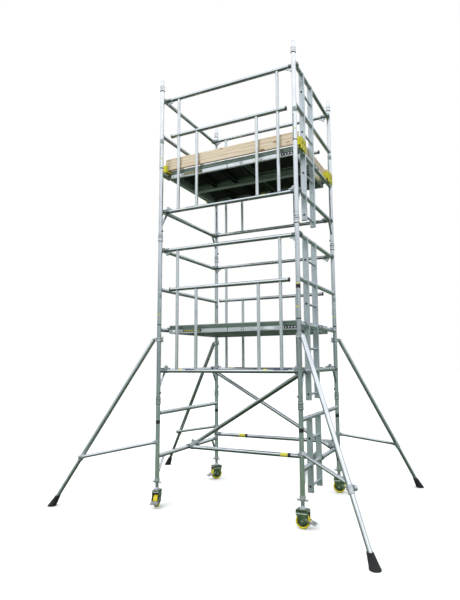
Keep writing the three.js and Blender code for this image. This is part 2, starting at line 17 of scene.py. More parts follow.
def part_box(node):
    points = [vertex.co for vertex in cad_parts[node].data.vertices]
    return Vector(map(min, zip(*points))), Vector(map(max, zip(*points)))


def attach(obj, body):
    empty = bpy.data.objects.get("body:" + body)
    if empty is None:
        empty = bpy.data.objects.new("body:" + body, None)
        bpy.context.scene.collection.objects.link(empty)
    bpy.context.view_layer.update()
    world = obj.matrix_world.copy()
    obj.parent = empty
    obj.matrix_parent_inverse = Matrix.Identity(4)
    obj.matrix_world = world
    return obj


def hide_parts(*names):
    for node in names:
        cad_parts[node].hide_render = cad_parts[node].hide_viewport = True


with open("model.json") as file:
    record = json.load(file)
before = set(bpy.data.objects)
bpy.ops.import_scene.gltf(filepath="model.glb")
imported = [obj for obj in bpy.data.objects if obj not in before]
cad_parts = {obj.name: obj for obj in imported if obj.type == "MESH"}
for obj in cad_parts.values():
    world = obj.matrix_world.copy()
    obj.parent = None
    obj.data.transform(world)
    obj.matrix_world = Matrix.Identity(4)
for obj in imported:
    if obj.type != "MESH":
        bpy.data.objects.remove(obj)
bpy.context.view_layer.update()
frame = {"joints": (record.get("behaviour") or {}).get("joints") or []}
random.seed(7)

JOINTS = {joint["name"]: joint for joint in frame["joints"]}
CORNERS = ("front_left", "front_right", "back_left", "back_right")
LEG_AXES = {name: Vector(JOINTS[f"{name}_nut_turn"]["pos_m"]) for name in CORNERS}
MIDDLE = sum(LEG_AXES.values(), Vector()) / 4
ORIGIN = Vector((MIDDLE.x, MIDDLE.y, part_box("base_plain_frame")[0].z))
TOWER = Matrix.Translation(ORIGIN) @ Matrix.Scale(0.001, 4)


def from_row(point):
    """A point of the row frame in the tower's millimetres."""
    return (Vector(point) - ORIGIN) * 1000


def span(node):
    """A CAD node's lowest and highest corners, in the tower's millimetres."""
    low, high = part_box(node)
    return from_row(low), from_row(high)


BAY_HALF = from_row(LEG_AXES["front_right"]).x
WIDTH_HALF = from_row(LEG_AXES["back_right"]).y
GROUND = from_row((0, 0, 0)).z

# ---- Sizes of the stock that everything is made from ---------------------------------------
LEG_RADIUS = 25.4
LEG_BORE = 23.4
SPIGOT_RADIUS = 22.8
SPIGOT_HEIGHT = 70
COLLAR_RADIUS = 31
COLLAR_HEIGHT = 70
RUNG_RADIUS = 25
LOWEST_RUNG = 250
RUNG_PITCH = 500
RUNG_COUNT = 10
KNEE_RADIUS = 14
KNEE_INSET = 125
KNEE_DROP = 185
STILES = (-447.5, -127.5)
STILE_SECTION = (65, 25)
LADDER_RUNG_RADIUS = 14
LADDER_RUNG_RISE = 65
RAIL_RADIUS = 23
BAR_RADIUS = 19
BAR_SHIFT = -12
MID_RAIL_REACH = 790
BAR_PLACES = ((680, 3), (410, 2))  # distance from the middle, and the rung the bar rises to
RAIL_LABELS = (  # from, to, finish
    (-645, -610, "label_yellow"), (-560, -440, "label_blue"),
    (455, 500, "label_yellow"), (575, 745, "label_blue"),
)
UPPER_SIDE = (-105, -25)  # degrees round a rail, from its front downwards
CLAW_BORE = 26.2
CLAW_RADIUS = 36
CLAW_WIDTH = 36
RAIL_REACH = 870
DECK_REACH = 840
DECK_DEPTH = 100
BOARD = 12
HOOK_OFFSET = 230
HOOK_RADIUS = 33
HOOK_WIDTH = 40
BRACE_RADIUS = 25
BRACE_ENDS = {  # Y and the number of the rung, at the left and the right end
    "front_horizontal": ((-40, 0), (-60, 0)),
    "front_diagonal": ((28, 0), (-570, 2)),
    "back_diagonal": ((570, 2), (530, 0)),
}
CLIP_HEIGHT = 92
DECK_RUNGS = {"lower": LOWEST_RUNG + 3 * RUNG_PITCH, "upper": LOWEST_RUNG + 7 * RUNG_PITCH}
WHEEL_RADIUS = 75
CHEEK_INNER = 36
CHEEK_OUTER = 41
ARM_HEIGHT = 410
ARM_RADIUS = 18.8
FOOT_RADIUS = 21.8
FOOT_OVERLAP = 480  # how much of the foot's tube is inside the outer one
TUBE_PAST_COLLAR = 45

# ---- Fineness of the meshes ----------------------------------------------------------------
SHARP_ANGLE = 35  # degrees between faces, over which an edge isn't smoothed
BEVEL = 0.3  # where a softened rim's middle step sits, as a share of the rim
ROLLED_END = 0.7
WELD_BEAD = 2.4
WELD_RIPPLE = 0.5
LEAST_WELD_REACH = 3
SADDLE_STEPS = 28
FLAT_WELD_STEPS = 24
THREAD_SIDES = 30
THREAD_LAYERS = 5  # for each turn of a thread


# ---- Meshes --------------------------------------------------------------------------------
class Shell:
    """Closed surfaces gathered into one mesh. Each point also keeps its place in its own bar,
    with Z along the bar, so that grain and streaks follow it."""

    def __init__(self, place=None):
        self.place = place or Matrix()
        self.points = []
        self.grain = []
        self.faces = []
        self.finishes = []

    def skin(self, rings, grain, finish, looped=False):
        """Joins rings of equal size. The ends are closed, or joined to each other when looped."""
        start = len(self.points)
        size = len(rings[0])
        count = len(rings)
        shift = Vector((random.uniform(0, 900), random.uniform(0, 900), random.uniform(0, 9000)))
        for ring, line in zip(rings, grain):
            self.points += [self.place @ point for point in ring]
            self.grain += [point + shift for point in line]
        for i in range(count if looped else count - 1):
            here = start + i * size
            there = start + (i + 1) % count * size
            for k in range(size):
                after = (k + 1) % size
                self.faces.append((here + k, here + after, there + after, there + k))
        if not looped:
            self.faces.append(tuple(range(start, start + size)))
            self.faces.append(tuple(range(start + (count - 1) * size, start + count * size)))
        self.finishes += [finish] * (len(self.faces) - len(self.finishes))


def make(name, shell, body, replaces=()):
    """Turns a shell into a piece that rides on a body."""
    mesh = bpy.data.meshes.new(name)
    mesh.from_pydata([TOWER @ point for point in shell.points], [], shell.faces)
    names = sorted(set(shell.finishes))
    for finish in names:
        mesh.materials.append(MATERIALS[finish])
    mesh.polygons.foreach_set("material_index", [names.index(finish) for finish in shell.finishes])
    grain = mesh.attributes.new("grain", "FLOAT_VECTOR", "POINT")
    grain.data.foreach_set("vector", [value / 1000 for point in shell.grain for value in point])
    edit = bmesh.new()
    edit.from_mesh(mesh)
    bmesh.ops.recalc_face_normals(edit, faces=edit.faces)
    edit.to_mesh(mesh)
    edit.free()
    mesh.shade_smooth()
    mesh.set_sharp_from_angle(angle=radians(SHARP_ANGLE))
    piece = bpy.data.objects.new(name, mesh)
    bpy.context.scene.collection.objects.link(piece)
    # Long faces keep their own normals, so that the softened ends don't shade the whole tube.
    normals = piece.modifiers.new("Weighted normals", "WEIGHTED_NORMAL")
    normals.keep_sharp = True
    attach(piece, body)
    if replaces:
        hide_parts(*replaces)


def frame_of(place, x, y, z):
    """A base at a place, with the given unit axes."""
    return Matrix.Translation(place) @ Matrix((x, y, z)).transposed().to_4x4()


def between(start, end, side=(0, 0, 1)):
    """A base at start whose Z points to end, with its X as near as can be to side."""
    z = (Vector(end) - Vector(start)).normalized()
    side = Vector(side)
    if abs(z.dot(side.normalized())) > 0.99:
        side = Vector((1, 0, 0))
    y = z.cross(side).normalized()
    x = y.cross(z)
    return frame_of(start, x, y, z)


def upright(x, y, z, turn=0):
    """A base at a point, turned about Z."""
    return Matrix.Translation((x, y, z)) @ Matrix.Rotation(turn, 4, "Z")


def lathe(shell, base, profile, finish, sides, hollow=False, ribs=None):
    """Turns (radius, height) points about the base's Z. A hollow profile is a closed outline.
    ribs is (least radius that is ribbed, depth): every second point round sits that much in."""
    rings = []
    grain = []
    for radius, height in profile:
        line = []
        for k in range(sides):
            angle = 2 * pi * k / sides
            dip = ribs[1] * (k % 2) if ribs and radius >= ribs[0] else 0
            line.append(Vector(((radius - dip) * cos(angle), (radius - dip) * sin(angle), height)))
        grain.append(line)
        rings.append([base @ point for point in line])
    shell.skin(rings, grain, finish, looped=hollow)


def pipe(shell, start, end, radius, finish, wall=2.5, sides=56, ribs=0.5):
    """A ribbed tube with rolled ends."""
    start = Vector(start)
    length = (Vector(end) - start).length
    inner = radius - wall
    soft = ROLLED_END
    profile = [
        (inner + soft, 0), (radius - soft, 0), (radius, soft), (radius, length - soft),
        (radius - soft, length), (inner + soft, length), (inner, length - soft), (inner, soft),
    ]
    rib = (radius - 0.01, ribs) if ribs else None
    lathe(shell, between(start, end), profile, finish, sides, hollow=True, ribs=rib)


def rod(shell, start, end, radius, finish, soft, sides=24):
    """A solid round bar with rounded ends."""
    start = Vector(start)
    length = (Vector(end) - start).length
    step = soft * BEVEL
    profile = [
        (radius - soft, 0), (radius - step, step), (radius, soft),
        (radius, length - soft), (radius - step, length - step), (radius - soft, length),
    ]
    lathe(shell, between(start, end), profile, finish, sides)


def ring(shell, base, inner, outer, height, finish, soft=1.0, sides=40):
    """A washer, sleeve or band standing on the base."""
    soft = min(soft, height / 3, (outer - inner) / 3)
    profile = [
        (inner, soft), (inner + soft, 0), (outer - soft, 0), (outer, soft),
        (outer, height - soft), (outer - soft, height), (inner + soft, height), (inner, height - soft),
    ]
    lathe(shell, base, profile, finish, sides, hollow=True)


def inset(outline, amount):
    """An anticlockwise outline moved in by an amount."""
    moved = []
    for i, here in enumerate(outline):
        arrive = (here - outline[i - 1]).normalized()
        leave = (outline[(i + 1) % len(outline)] - here).normalized()
        normals = Vector((-arrive.y, arrive.x)), Vector((-leave.y, leave.x))
        share = amount / max(0.5, 1 + normals[0].dot(normals[1]))
        moved.append(here + (normals[0] + normals[1]) * share)
    return moved


def extrude(shell, base, outline, depth, finish, soft):
    """An anticlockwise outline thickened along the base's Z, with softened rims."""
    outline = [Vector(point) for point in outline]
    step = soft * BEVEL
    face = inset(outline, soft)
    rim = inset(outline, step)
    layers = [
        (face, 0), (rim, step), (outline, soft),
        (outline, depth - soft), (rim, depth - step), (face, depth),
    ]
    grain = [[Vector((point.x, point.y, height)) for point in layer] for layer, height in layers]
    rings = [[base @ point for point in line] for line in grain]
    shell.skin(rings, grain, finish)


def plate(shell, start, end, outline, finish, soft):
    """A flat piece from start to end, which are across from each other. Its outline is in the
    (X, Z) plane, about start."""
    base = between(start, end, (1, 0, 0))
    outline = [Vector(point) for point in outline]
    if (base.to_3x3() @ Vector((0, 1, 0))).z < 0:
        outline = [Vector((p.x, -p.y)) for p in reversed(outline)]
    extrude(shell, base, outline, (Vector(end) - Vector(start)).length, finish, soft)


def block(shell, low, high, finish, soft):
    """A box with softened edges, whose grain runs along its longest side."""
    low, high = Vector(low), Vector(high)
    size = high - low
    long = max(range(3), key=lambda i: size[i])
    across, up = (long + 1) % 3, (long + 2) % 3
    soft = min(soft, min(size) / 2.5)
    base = frame_of(low, *[[float(i == j) for j in range(3)] for i in (across, up, long)])
    outline = rounded(0, 0, size[across], size[up], soft)
    extrude(shell, base, outline, size[long], finish, soft)


def rounded(x0, y0, x1, y1, radius, steps=3):
    """A rectangle with round corners."""
    corners = ((x1 - radius, y0 + radius, -90), (x1 - radius, y1 - radius, 0),
               (x0 + radius, y1 - radius, 90), (x0 + radius, y0 + radius, 180))
    outline = []
    for x, y, start in corners:
        for k in range(steps + 1):
            angle = radians(start + 90 * k / steps)
            outline.append(Vector((x + radius * cos(angle), y + radius * sin(angle))))
    return outline


def arc(radius, start, end, steps, centre=(0, 0)):
    """Points along an arc, from one angle to another in degrees."""
    angles = [radians(start + (end - start) * k / steps) for k in range(steps + 1)]
    return [Vector((centre[0] + radius * cos(a), centre[1] + radius * sin(a))) for a in angles]


def sweep(shell, path, outline, finish, closed=False):
    """Carries an outline along a path without twisting it."""
    path = [Vector(point) for point in path]
    count = len(path)
    normal = None
    travelled = 0
    rings = []
    grain = []
    for i, here in enumerate(path):
        before = path[i - 1] if closed or i > 0 else here
        after = path[(i + 1) % count] if closed or i < count - 1 else here
        forward = (after - before).normalized()
        if normal is None:
            normal = forward.orthogonal()
        normal = (normal - forward * normal.dot(forward)).normalized()
        other = forward.cross(normal)
        travelled += (here - before).length if i else 0
        rings.append([here + normal * point.x + other * point.y for point in outline])
        grain.append([Vector((point.x, point.y, travelled)) for point in outline])
    shell.skin(rings, grain, finish, looped=closed)


def bead(shell, loop):
    """A weld bead round a joint, with the ripple that the torch leaves."""
    steps = len(loop)
    middle = sum(loop, Vector()) / steps
    rippled = [p + (p - middle).normalized() * WELD_RIPPLE * sin(k * pi) for k, p in enumerate(loop)]
    sweep(shell, rippled, arc(WELD_BEAD, 0, 300, 5), "weld", closed=True)


def saddle(shell, centre, leg, direction, bar_radius, leg_radius):
    """The weld where a round bar meets a round leg at a right angle."""
    direction, leg = Vector(direction), Vector(leg)
    across = direction.cross(leg)
    loop = []
    for k in range(SADDLE_STEPS):
        angle = 2 * pi * k / SADDLE_STEPS
        reach = min(bar_radius, leg_radius) * cos(angle)
        along = sqrt(max(leg_radius ** 2 - reach ** 2, LEAST_WELD_REACH ** 2))
        loop.append(Vector(centre) + across * reach + leg * bar_radius * sin(angle) + direction * along)
    bead(shell, loop)


def flat_weld(shell, centre, normal, radius):
    """The weld where a round bar meets a flat face."""
    base = between(centre, Vector(centre) + Vector(normal))
    steps = FLAT_WELD_STEPS
    bead(shell, [base @ Vector((p.x, p.y, 0)) for p in arc(radius, 0, 360 - 360 / steps, steps - 1)])


def wrap(shell, base, radius, start, end, low, high, finish, thick=0.5):
    """A label or sleeve lying on part of a tube, between two angles in degrees."""
    steps = max(4, int(abs(end - start) / 9))
    outline = arc(radius + thick, start, end, steps) + arc(radius + 0.05, end, start, steps)
    grain = [[Vector((p.x, p.y, z)) for p in outline] for z in (low, high)]
    shell.skin([[base @ p for p in line] for line in grain], grain, finish)


def bolt(shell, base, radius, height):
    """A hexagon head on a washer, standing on the base."""
    washer = height * 0.25
    ring(shell, base, radius * 0.4, radius * 1.25, washer, "plated", soft=0.4, sides=24)
    head = arc(radius, 0, 300, 5)
    extrude(shell, base @ upright(0, 0, washer), head, height - washer, "plated", 0.6)


def rivet(shell, base, radius, height, finish="plated"):
    """A domed head."""
    lathe(shell, base, [
        (radius, 0), (radius * 0.92, height * 0.45), (radius * 0.65, height * 0.85), (radius * 0.2, height),
    ], finish, sides=10)


# ---- Materials -----------------------------------------------------------------------------
class Nodes:
    """A node tree. Its nodes are added by name and linked by their sockets."""

    def __init__(self, tree):
        self.tree = tree

    def node(self, kind, inputs=None, **settings):
        added = self.tree.nodes.new(f"ShaderNode{kind}")
        for key, value in settings.items():
            setattr(added, key, value)
        for key, value in (inputs or {}).items():
            if isinstance(value, bpy.types.NodeSocket):
                self.tree.links.new(value, added.inputs[key])
            else:
                added.inputs[key].default_value = value
        return added

    def math(self, operation, first, second):
        return self.node("Math", {0: first, 1: second}, operation=operation).outputs[0]

    def noise(self, vector, detail, roughness=0.55, scale=1.0):
        return self.node("TexNoise", {
            "Vector": vector, "Scale": scale, "Detail": detail, "Roughness": roughness,
        }).outputs["Fac"]

    def ramp(self, value, *stops):
        """Colours by value. A stop is (place, colour or grey)."""
        made = self.node("ValToRGB", {"Fac": value})
        elements = made.color_ramp.elements
        while len(elements) < len(stops):
            elements.new(0.5)
        for element, (place, colour) in zip(elements, stops):
            element.position = place
            element.color = (*colour, 1) if isinstance(colour, tuple) else (colour, colour, colour, 1)
        return made.outputs["Color"]

    def times(self, first, second):
        """Two colours multiplied. A mix node's colours are its inputs 6 and 7 and its output 2."""
        inputs = {0: 1.0, 6: first, 7: second}
        return self.node("Mix", inputs, data_type="RGBA", blend_type="MULTIPLY").outputs[2]

    def surface(self, shader, output):
        self.tree.links.new(shader.outputs[0], self.tree.nodes[output].inputs["Surface"])


class Look(Nodes):
    """A procedural material round one Principled shader."""

    def __init__(self, name, metallic=0.0, roughness=0.5, specular=0.5):
        self.material = bpy.data.materials.new(name)
        self.material.use_nodes = True
        super().__init__(self.material.node_tree)
        self.shader = self.tree.nodes["Principled BSDF"]
        self.shader.inputs["Metallic"].default_value = metallic
        self.shader.inputs["Roughness"].default_value = roughness
        self.shader.inputs["Specular IOR Level"].default_value = specular

    def along(self, scale):
        """Coordinates in a bar's own frame, stretched by a scale."""
        grain = self.node("Attribute", attribute_name="grain")
        return self.node("Mapping", {"Vector": grain.outputs["Vector"], "Scale": scale}).outputs[0]

    def colour(self, socket):
        self.tree.links.new(socket, self.shader.inputs["Base Color"])

    def rough(self, socket):
        self.tree.links.new(socket, self.shader.inputs["Roughness"])

    def bump(self, height, strength, distance):
        made = self.node("Bump", {"Height": height, "Strength": strength, "Distance": distance})
        self.tree.links.new(made.outputs["Normal"], self.shader.inputs["Normal"])


MATERIALS = {}


def aluminium(name, light, dark, roughness, metallic=0.92):
    """Extruded aluminium: drawn streaks along the bar, faint blotches and handling marks.
    roughness is the smooth streaks' and then the rough ones'."""
    look = Look(name, metallic=metallic)
    streaks = look.noise(look.along((420, 420, 1.6)), detail=4, roughness=0.65)
    blotches = look.noise(look.along((14, 14, 5)), detail=5, roughness=0.6)
    scuffs = look.noise(look.along((160, 160, 60)), detail=2, roughness=0.8)
    glint = tuple(min(1, level * 1.06) for level in light)
    metal = look.ramp(streaks, (0.28, dark), (0.55, light), (0.9, glint))
    worn = look.ramp(blotches, (0.3, 0.84), (0.62, 1.0))
    marks = look.ramp(scuffs, (0.24, 0.8), (0.34, 1.0))
    look.colour(look.times(look.times(metal, worn), marks))
    look.rough(look.ramp(streaks, (0.25, roughness[1]), (0.75, roughness[0])))
    look.bump(streaks, 0.12, 0.0003)
    MATERIALS[name] = look.material


def casting(name, light, dark, metallic=0.75, roughness=0.42):
    """Cast or forged metal: a pitted skin, brighter where it rubs."""
    look = Look(name, metallic=metallic)
    pits = look.noise(look.along((260, 260, 260)), detail=4, roughness=0.7)
    patches = look.noise(look.along((28, 28, 28)), detail=4)
    look.colour(look.ramp(patches, (0.3, dark), (0.68, light)))
    look.rough(look.ramp(pits, (0.3, min(0.9, roughness + 0.16)), (0.7, roughness - 0.08)))
    look.bump(pits, 0.3, 0.0006)
    MATERIALS[name] = look.material


def plastic(name, light, dark, roughness=0.46, grain_size=900, bump=0.2):
    """Moulded plastic or rubber: a fine texture, with scuffs that are paler and rougher."""
    look = Look(name, specular=0.45)
    texture = look.noise(look.along((grain_size,) * 3), detail=2)
    scuffs = look.noise(look.along((45, 45, 18)), detail=6, roughness=0.72)
    look.colour(look.ramp(scuffs, (0.32, dark), (0.6, light)))
    look.rough(look.ramp(scuffs, (0.35, roughness + 0.14), (0.65, roughness)))
    look.bump(texture, bump, 0.0004)
    MATERIALS[name] = look.material


def plywood():
    """Dark resin-faced board with a pressed grip pattern, worn along the walkway."""
    look = Look("plywood", specular=0.35)
    grip = look.node("TexVoronoi", {"Vector": look.along((150, 150, 150)), "Scale": 1.0})
    wear = look.noise(look.along((9, 9, 2.5)), detail=6, roughness=0.65)
    look.colour(look.ramp(wear, (0.35, (0.012, 0.011, 0.012)), (0.62, (0.035, 0.031, 0.028)),
                          (0.85, (0.085, 0.072, 0.06))))
    look.rough(look.ramp(wear, (0.3, 0.5), (0.7, 0.72)))
    look.bump(grip.outputs["Distance"], 0.55, 0.0008)
    MATERIALS["plywood"] = look.material


def softwood():
    """Sawn softwood: growth rings cut lengthwise, fine fibres and scattered knots."""
    look = Look("softwood", specular=0.25)
    warp = look.noise(look.along((5, 5, 0.9)), detail=3)
    shift = look.node("CombineXYZ", {"X": warp, "Y": warp, "Z": 0.0}).outputs["Vector"]
    warped = look.node("VectorMath", {0: look.along((26, 26, 3)), 1: shift}, operation="ADD")
    rings = look.node("TexWave", {
        "Vector": warped.outputs[0], "Scale": 0.3, "Distortion": 5.0, "Detail": 3.0, "Detail Scale": 2.2,
    }, wave_type="BANDS", bands_direction="Y").outputs["Fac"]
    fibres = look.noise(look.along((700, 700, 14)), detail=4, roughness=0.7)
    knots = look.node("TexVoronoi", {"Vector": look.along((9, 9, 5)), "Scale": 1.0})
    timber = look.ramp(rings, (0.0, (0.80, 0.71, 0.58)), (0.6, (0.75, 0.645, 0.50)),
                       (1.0, (0.66, 0.54, 0.40)))
    fibred = look.times(timber, look.ramp(fibres, (0.3, 0.86), (0.6, 1.0)))
    pink = look.ramp(warp, (0.3, (0.95, 0.88, 0.86)), (0.7, (1.0, 1.0, 1.0)))
    tone = look.times(fibred, pink)
    spots = look.ramp(knots.outputs["Distance"], (0.0, (0.25, 0.1, 0.05)), (0.1, (0.5, 0.27, 0.15)),
                      (0.2, (1.0, 0.97, 0.93)))
    look.colour(look.times(tone, spots))
    look.rough(look.ramp(fibres, (0.3, 0.82), (0.7, 0.62)))
    look.bump(fibres, 0.35, 0.0006)
    MATERIALS["softwood"] = look.material


def make_materials():
    """Every finish: its lighter and darker tone, then what sets it apart from its kind."""
    aluminium("frame_metal", (0.93, 0.95, 0.97), (0.68, 0.72, 0.74), (0.14, 0.3))
    aluminium("rail_metal", (0.96, 0.98, 1.0), (0.78, 0.82, 0.84), (0.08, 0.18), 0.96)
    aluminium("bar_metal", (0.97, 0.99, 1.0), (0.78, 0.83, 0.85), (0.34, 0.5), 0.85)
    aluminium("stile_metal", (0.80, 0.86, 0.89), (0.64, 0.70, 0.73), (0.34, 0.5), 0.85)
    aluminium("deck_metal", (0.97, 0.98, 1.0), (0.80, 0.83, 0.87), (0.32, 0.5), 0.8)
    # The deck's aluminium again, painted with shade and a reflection of the dark ground.
    aluminium("deck_dark", (0.25, 0.32, 0.27), (0.13, 0.17, 0.14), (0.35, 0.55), 0.6)
    # The deck's aluminium again, painted with the deep shade under the board.
    aluminium("deck_black", (0.05, 0.06, 0.055), (0.025, 0.03, 0.028), (0.45, 0.6), 0.4)
    casting("cast", (0.36, 0.41, 0.41), (0.14, 0.17, 0.17))
    casting("bright_cast", (0.84, 0.86, 0.88), (0.5, 0.53, 0.55), 0.75, 0.4)
    casting("weld", (0.66, 0.68, 0.70), (0.36, 0.38, 0.40), 0.85, 0.38)
    casting("plated", (0.82, 0.83, 0.82), (0.5, 0.52, 0.5), 0.95, 0.26)
    casting("fork_steel", (0.17, 0.25, 0.13), (0.06, 0.095, 0.045), 0.45, 0.34)
    casting("zinc", (0.86, 0.88, 0.87), (0.6, 0.63, 0.61), 0.2, 0.38)
    casting("thread_steel", (0.52, 0.55, 0.52), (0.2, 0.23, 0.21), 0.9, 0.36)
    # Real black plastic parts. The same dark finish also paints shadow lines and the shade inside holes.
    plastic("black_plastic", (0.035, 0.035, 0.037), (0.012, 0.012, 0.013))
    plastic("rubber", (0.03, 0.03, 0.031), (0.011, 0.011, 0.012), 0.72, 500, 0.5)
    plastic("yellow_plastic", (0.90, 0.82, 0.03), (0.76, 0.66, 0.03), 0.36)
    plastic("ochre_plastic", (0.60, 0.50, 0.025), (0.36, 0.28, 0.02), 0.5)
    plastic("tyre_yellow", (0.83, 0.68, 0.03), (0.62, 0.48, 0.03), 0.45, 600, 0.25)
    plastic("label_white", (0.80, 0.81, 0.83), (0.62, 0.63, 0.66), 0.4)
    plastic("label_blue", (0.05, 0.06, 0.16), (0.025, 0.03, 0.08), 0.4)
    plastic("label_dark", (0.03, 0.03, 0.04), (0.012, 0.012, 0.016), 0.4)
    plastic("label_yellow", (0.80, 0.70, 0.08), (0.60, 0.50, 0.06), 0.4)
    plastic("label_green", (0.34, 0.41, 0.40), (0.2, 0.26, 0.25), 0.42)
    plywood()
    softwood()


# ---- End frames ----------------------------------------------------------------------------
def frame_leg(shell, x, y, foot, head):
    """A ribbed leg with its swaged collar and the spigot that the next frame's leg drops over."""
    root = 60
    pipe(shell, (x, y, foot), (x, y, head - 2), LEG_RADIUS, "frame_metal", LEG_RADIUS - LEG_BORE)
    waist = COLLAR_RADIUS - 2
    lathe(shell, upright(x, y, head - COLLAR_HEIGHT), [
        (25.5, 1), (29.6, 0), (COLLAR_RADIUS, 1.6), (COLLAR_RADIUS, 17), (waist, 20), (waist, 50),
        (COLLAR_RADIUS, 53), (COLLAR_RADIUS, 68.4), (29.6, 70), (22, 70), (22, 60), (25.3, 56),
    ], "frame_metal", 48, hollow=True)
    # The three black rings at the waist's ends and just under the collar are painted shadow lines, not parts.
    for rise in (-6, 21, 45):
        band = upright(x, y, head - COLLAR_HEIGHT + rise)
        ring(shell, band, 25.3, waist + 1, 4.5, "black_plastic", 0.8, 40)
    top = SPIGOT_HEIGHT + root
    lathe(shell, upright(x, y, head - root), [
        (19, 0), (SPIGOT_RADIUS, 0), (SPIGOT_RADIUS, top - 14), (20.6, top - 3), (19.8, top), (18.6, top),
    ], "frame_metal", 40, hollow=True)
    # Each clip hole is a black dome of painted shade inside a real metal rim.
    for turn in (0, pi):
        hole = upright(x, y, head + 48, turn - 0.9) @ between((SPIGOT_RADIUS - 1.2, 0, 0), (40, 0, 0))
        ring(shell, hole, 4.6, 6.6, 1.8, "frame_metal", 0.5, 16)
        rivet(shell, hole, 4.7, 0.9, "black_plastic")


def interlock_clip(shell, x, y, foot, turn):
    """The sprung clip that pins a leg on the spigot below it."""
    ring(shell, upright(x, y, foot + 6), 25.5, 27.6, 5, "black_plastic", 0.8, 40)
    ring(shell, upright(x, y, foot + 42), 25.5, 27.2, 4, "plated", 0.8, 40)
    place = upright(x, y, foot + 58, turn)
    extrude(shell, place @ between((24.6, 0, 0), (50, 0, 0)), rounded(-13, -8, 13, 8, 5), 9,
            "black_plastic", 1.6)
    rod(shell, place @ Vector((30, 0, 0)), place @ Vector((37, 0, 0)), 4.2, "plated", 1.2, 14)


def frame_rung(shell, x, z):
    """A rung between the legs, with its two saddle welds."""
    reach = WIDTH_HALF - LEG_BORE + 2
    pipe(shell, (x, -reach, z), (x, reach, z), RUNG_RADIUS, "frame_metal")
    for row in (-1, 1):
        saddle(shell, (x, row * WIDTH_HALF, z), (0, 0, 1), (0, -row, 0), RUNG_RADIUS, LEG_RADIUS)


def knee_brace(shell, x, row, rung_z):
    """A short strut from the lowest rung to the leg, welded at each end."""
    inner = Vector((x, row * (WIDTH_HALF - KNEE_INSET), rung_z - 18))
    outer = Vector((x, row * (WIDTH_HALF - LEG_RADIUS + 2), rung_z - KNEE_DROP + 8))
    away = (outer - inner).normalized()
    pipe(shell, inner, outer, KNEE_RADIUS, "frame_metal", 2, 36, 0.35)
    for point, step in ((inner, 6), (outer, -6)):
        flat_weld(shell, point + away * step, away, KNEE_RADIUS + 1)


def stile_outline(depth, width):
    """A box section with two shallow grooves down each wide face."""
    groove = 0.9
    outline = rounded(-depth / 2, -width / 2, depth / 2, width / 2, 3.5)
    low = [(-18, 0), (-16.5, groove), (-12.5, groove), (-11, 0),
           (11, 0), (12.5, groove), (16.5, groove), (18, 0)]
    bottom = [Vector((x, -width / 2 + dip)) for x, dip in low]
    top = [Vector((-x, width / 2 - dip)) for x, dip in low]
    return outline[0:8] + top + outline[8:16] + bottom


def stile(shell, x, y, foot, head):
    """One side of the built-in ladder: an open box section with a plug in its foot."""
    outline = stile_outline(*STILE_SECTION)
    inner = inset(outline, 2.4)
    layers = [(outline, foot + 4), (outline, head), (inner, head), (inner, foot + 4)]
    grain = [[Vector((p.x, p.y, z)) for p in layer] for layer, z in layers]
    rings = [[Vector((x + p.x, y + p.y, p.z)) for p in line] for line in grain]
    shell.skin(rings, grain, "stile_metal", looped=True)
    plug = upright(x, y, foot)
    extrude(shell, plug, rounded(-31.5, -11.5, 31.5, 11.5, 3.5), 5, "black_plastic", 1)
    extrude(shell, plug @ Matrix.Translation((0, 0, 3)), rounded(-29, -9, 29, 9, 3), 16, "black_plastic", 1)


def frame_ladder(shell, x, foot, head, rungs):
    """Two stiles and the thinner rungs between the frame's own."""
    for y in STILES:
        stile(shell, x, y, foot, head)
        for z in rungs:
            for face in (-1, 1):
                flat_weld(shell, (x, y + face * STILE_SECTION[1] / 2, z), (0, face, 0), RUNG_RADIUS)
    half = STILE_SECTION[1] / 2
    near, far = STILES[0] - half, STILES[1] + half
    z = foot + LADDER_RUNG_RISE
    while z < head:
        pipe(shell, (x, near + 1, z), (x, far - 1, z), LADDER_RUNG_RADIUS, "stile_metal", 2.2, 40, 0.7)
        for y, face in ((near, -1), (far, 1)):
            end = between((x, y - face, z), (x, y + face, z))
            ring(shell, end, 13, 17.4, 2.2, "stile_metal", 0.8, 28)
            rod(shell, (x, y - face * 3, z), (x, y + face * 0.5, z), 13.2, "black_plastic", 0.3, 20)
        for y, face in ((near + 2 * half, 1), (far - 2 * half, -1)):
            flat_weld(shell, (x, y, z), (0, face, 0), LADDER_RUNG_RADIUS)
        z += RUNG_PITCH


def leg_labels(shell, x, y, foot, head):
    """Plain bands on a leg. The leg nearest the ladder's foot has darker ones than the others."""
    marked = x > 0 > y and foot < RUNG_PITCH * 4
    top = head - 735
    bands = [  # from, to in degrees, bottom, top, finish, thickness
        (140, 330, top - 14, top, "label_yellow" if marked else "label_green", 0.5),
        (120, 400, top - 58, top - 16, "black_plastic" if marked else "label_green", 0.5),
        (140, 262, top - 380, top - 73, "label_green", 0.5),
        (140, 330, top - 262, top - 252, "label_yellow", 0.8),
        (140, 380, top - 392, top - 380, "black_plastic", 0.8),
    ]
    if head - foot < 3 * RUNG_PITCH:
        bands = [
            (150, 420, head - 256, head - 242, "label_green", 0.8),
            (150, 420, head - 304, head - 262, "black_plastic", 0.5),
        ]
    for band in bands:
        wrap(shell, upright(x, y, 0), LEG_RADIUS, *band)


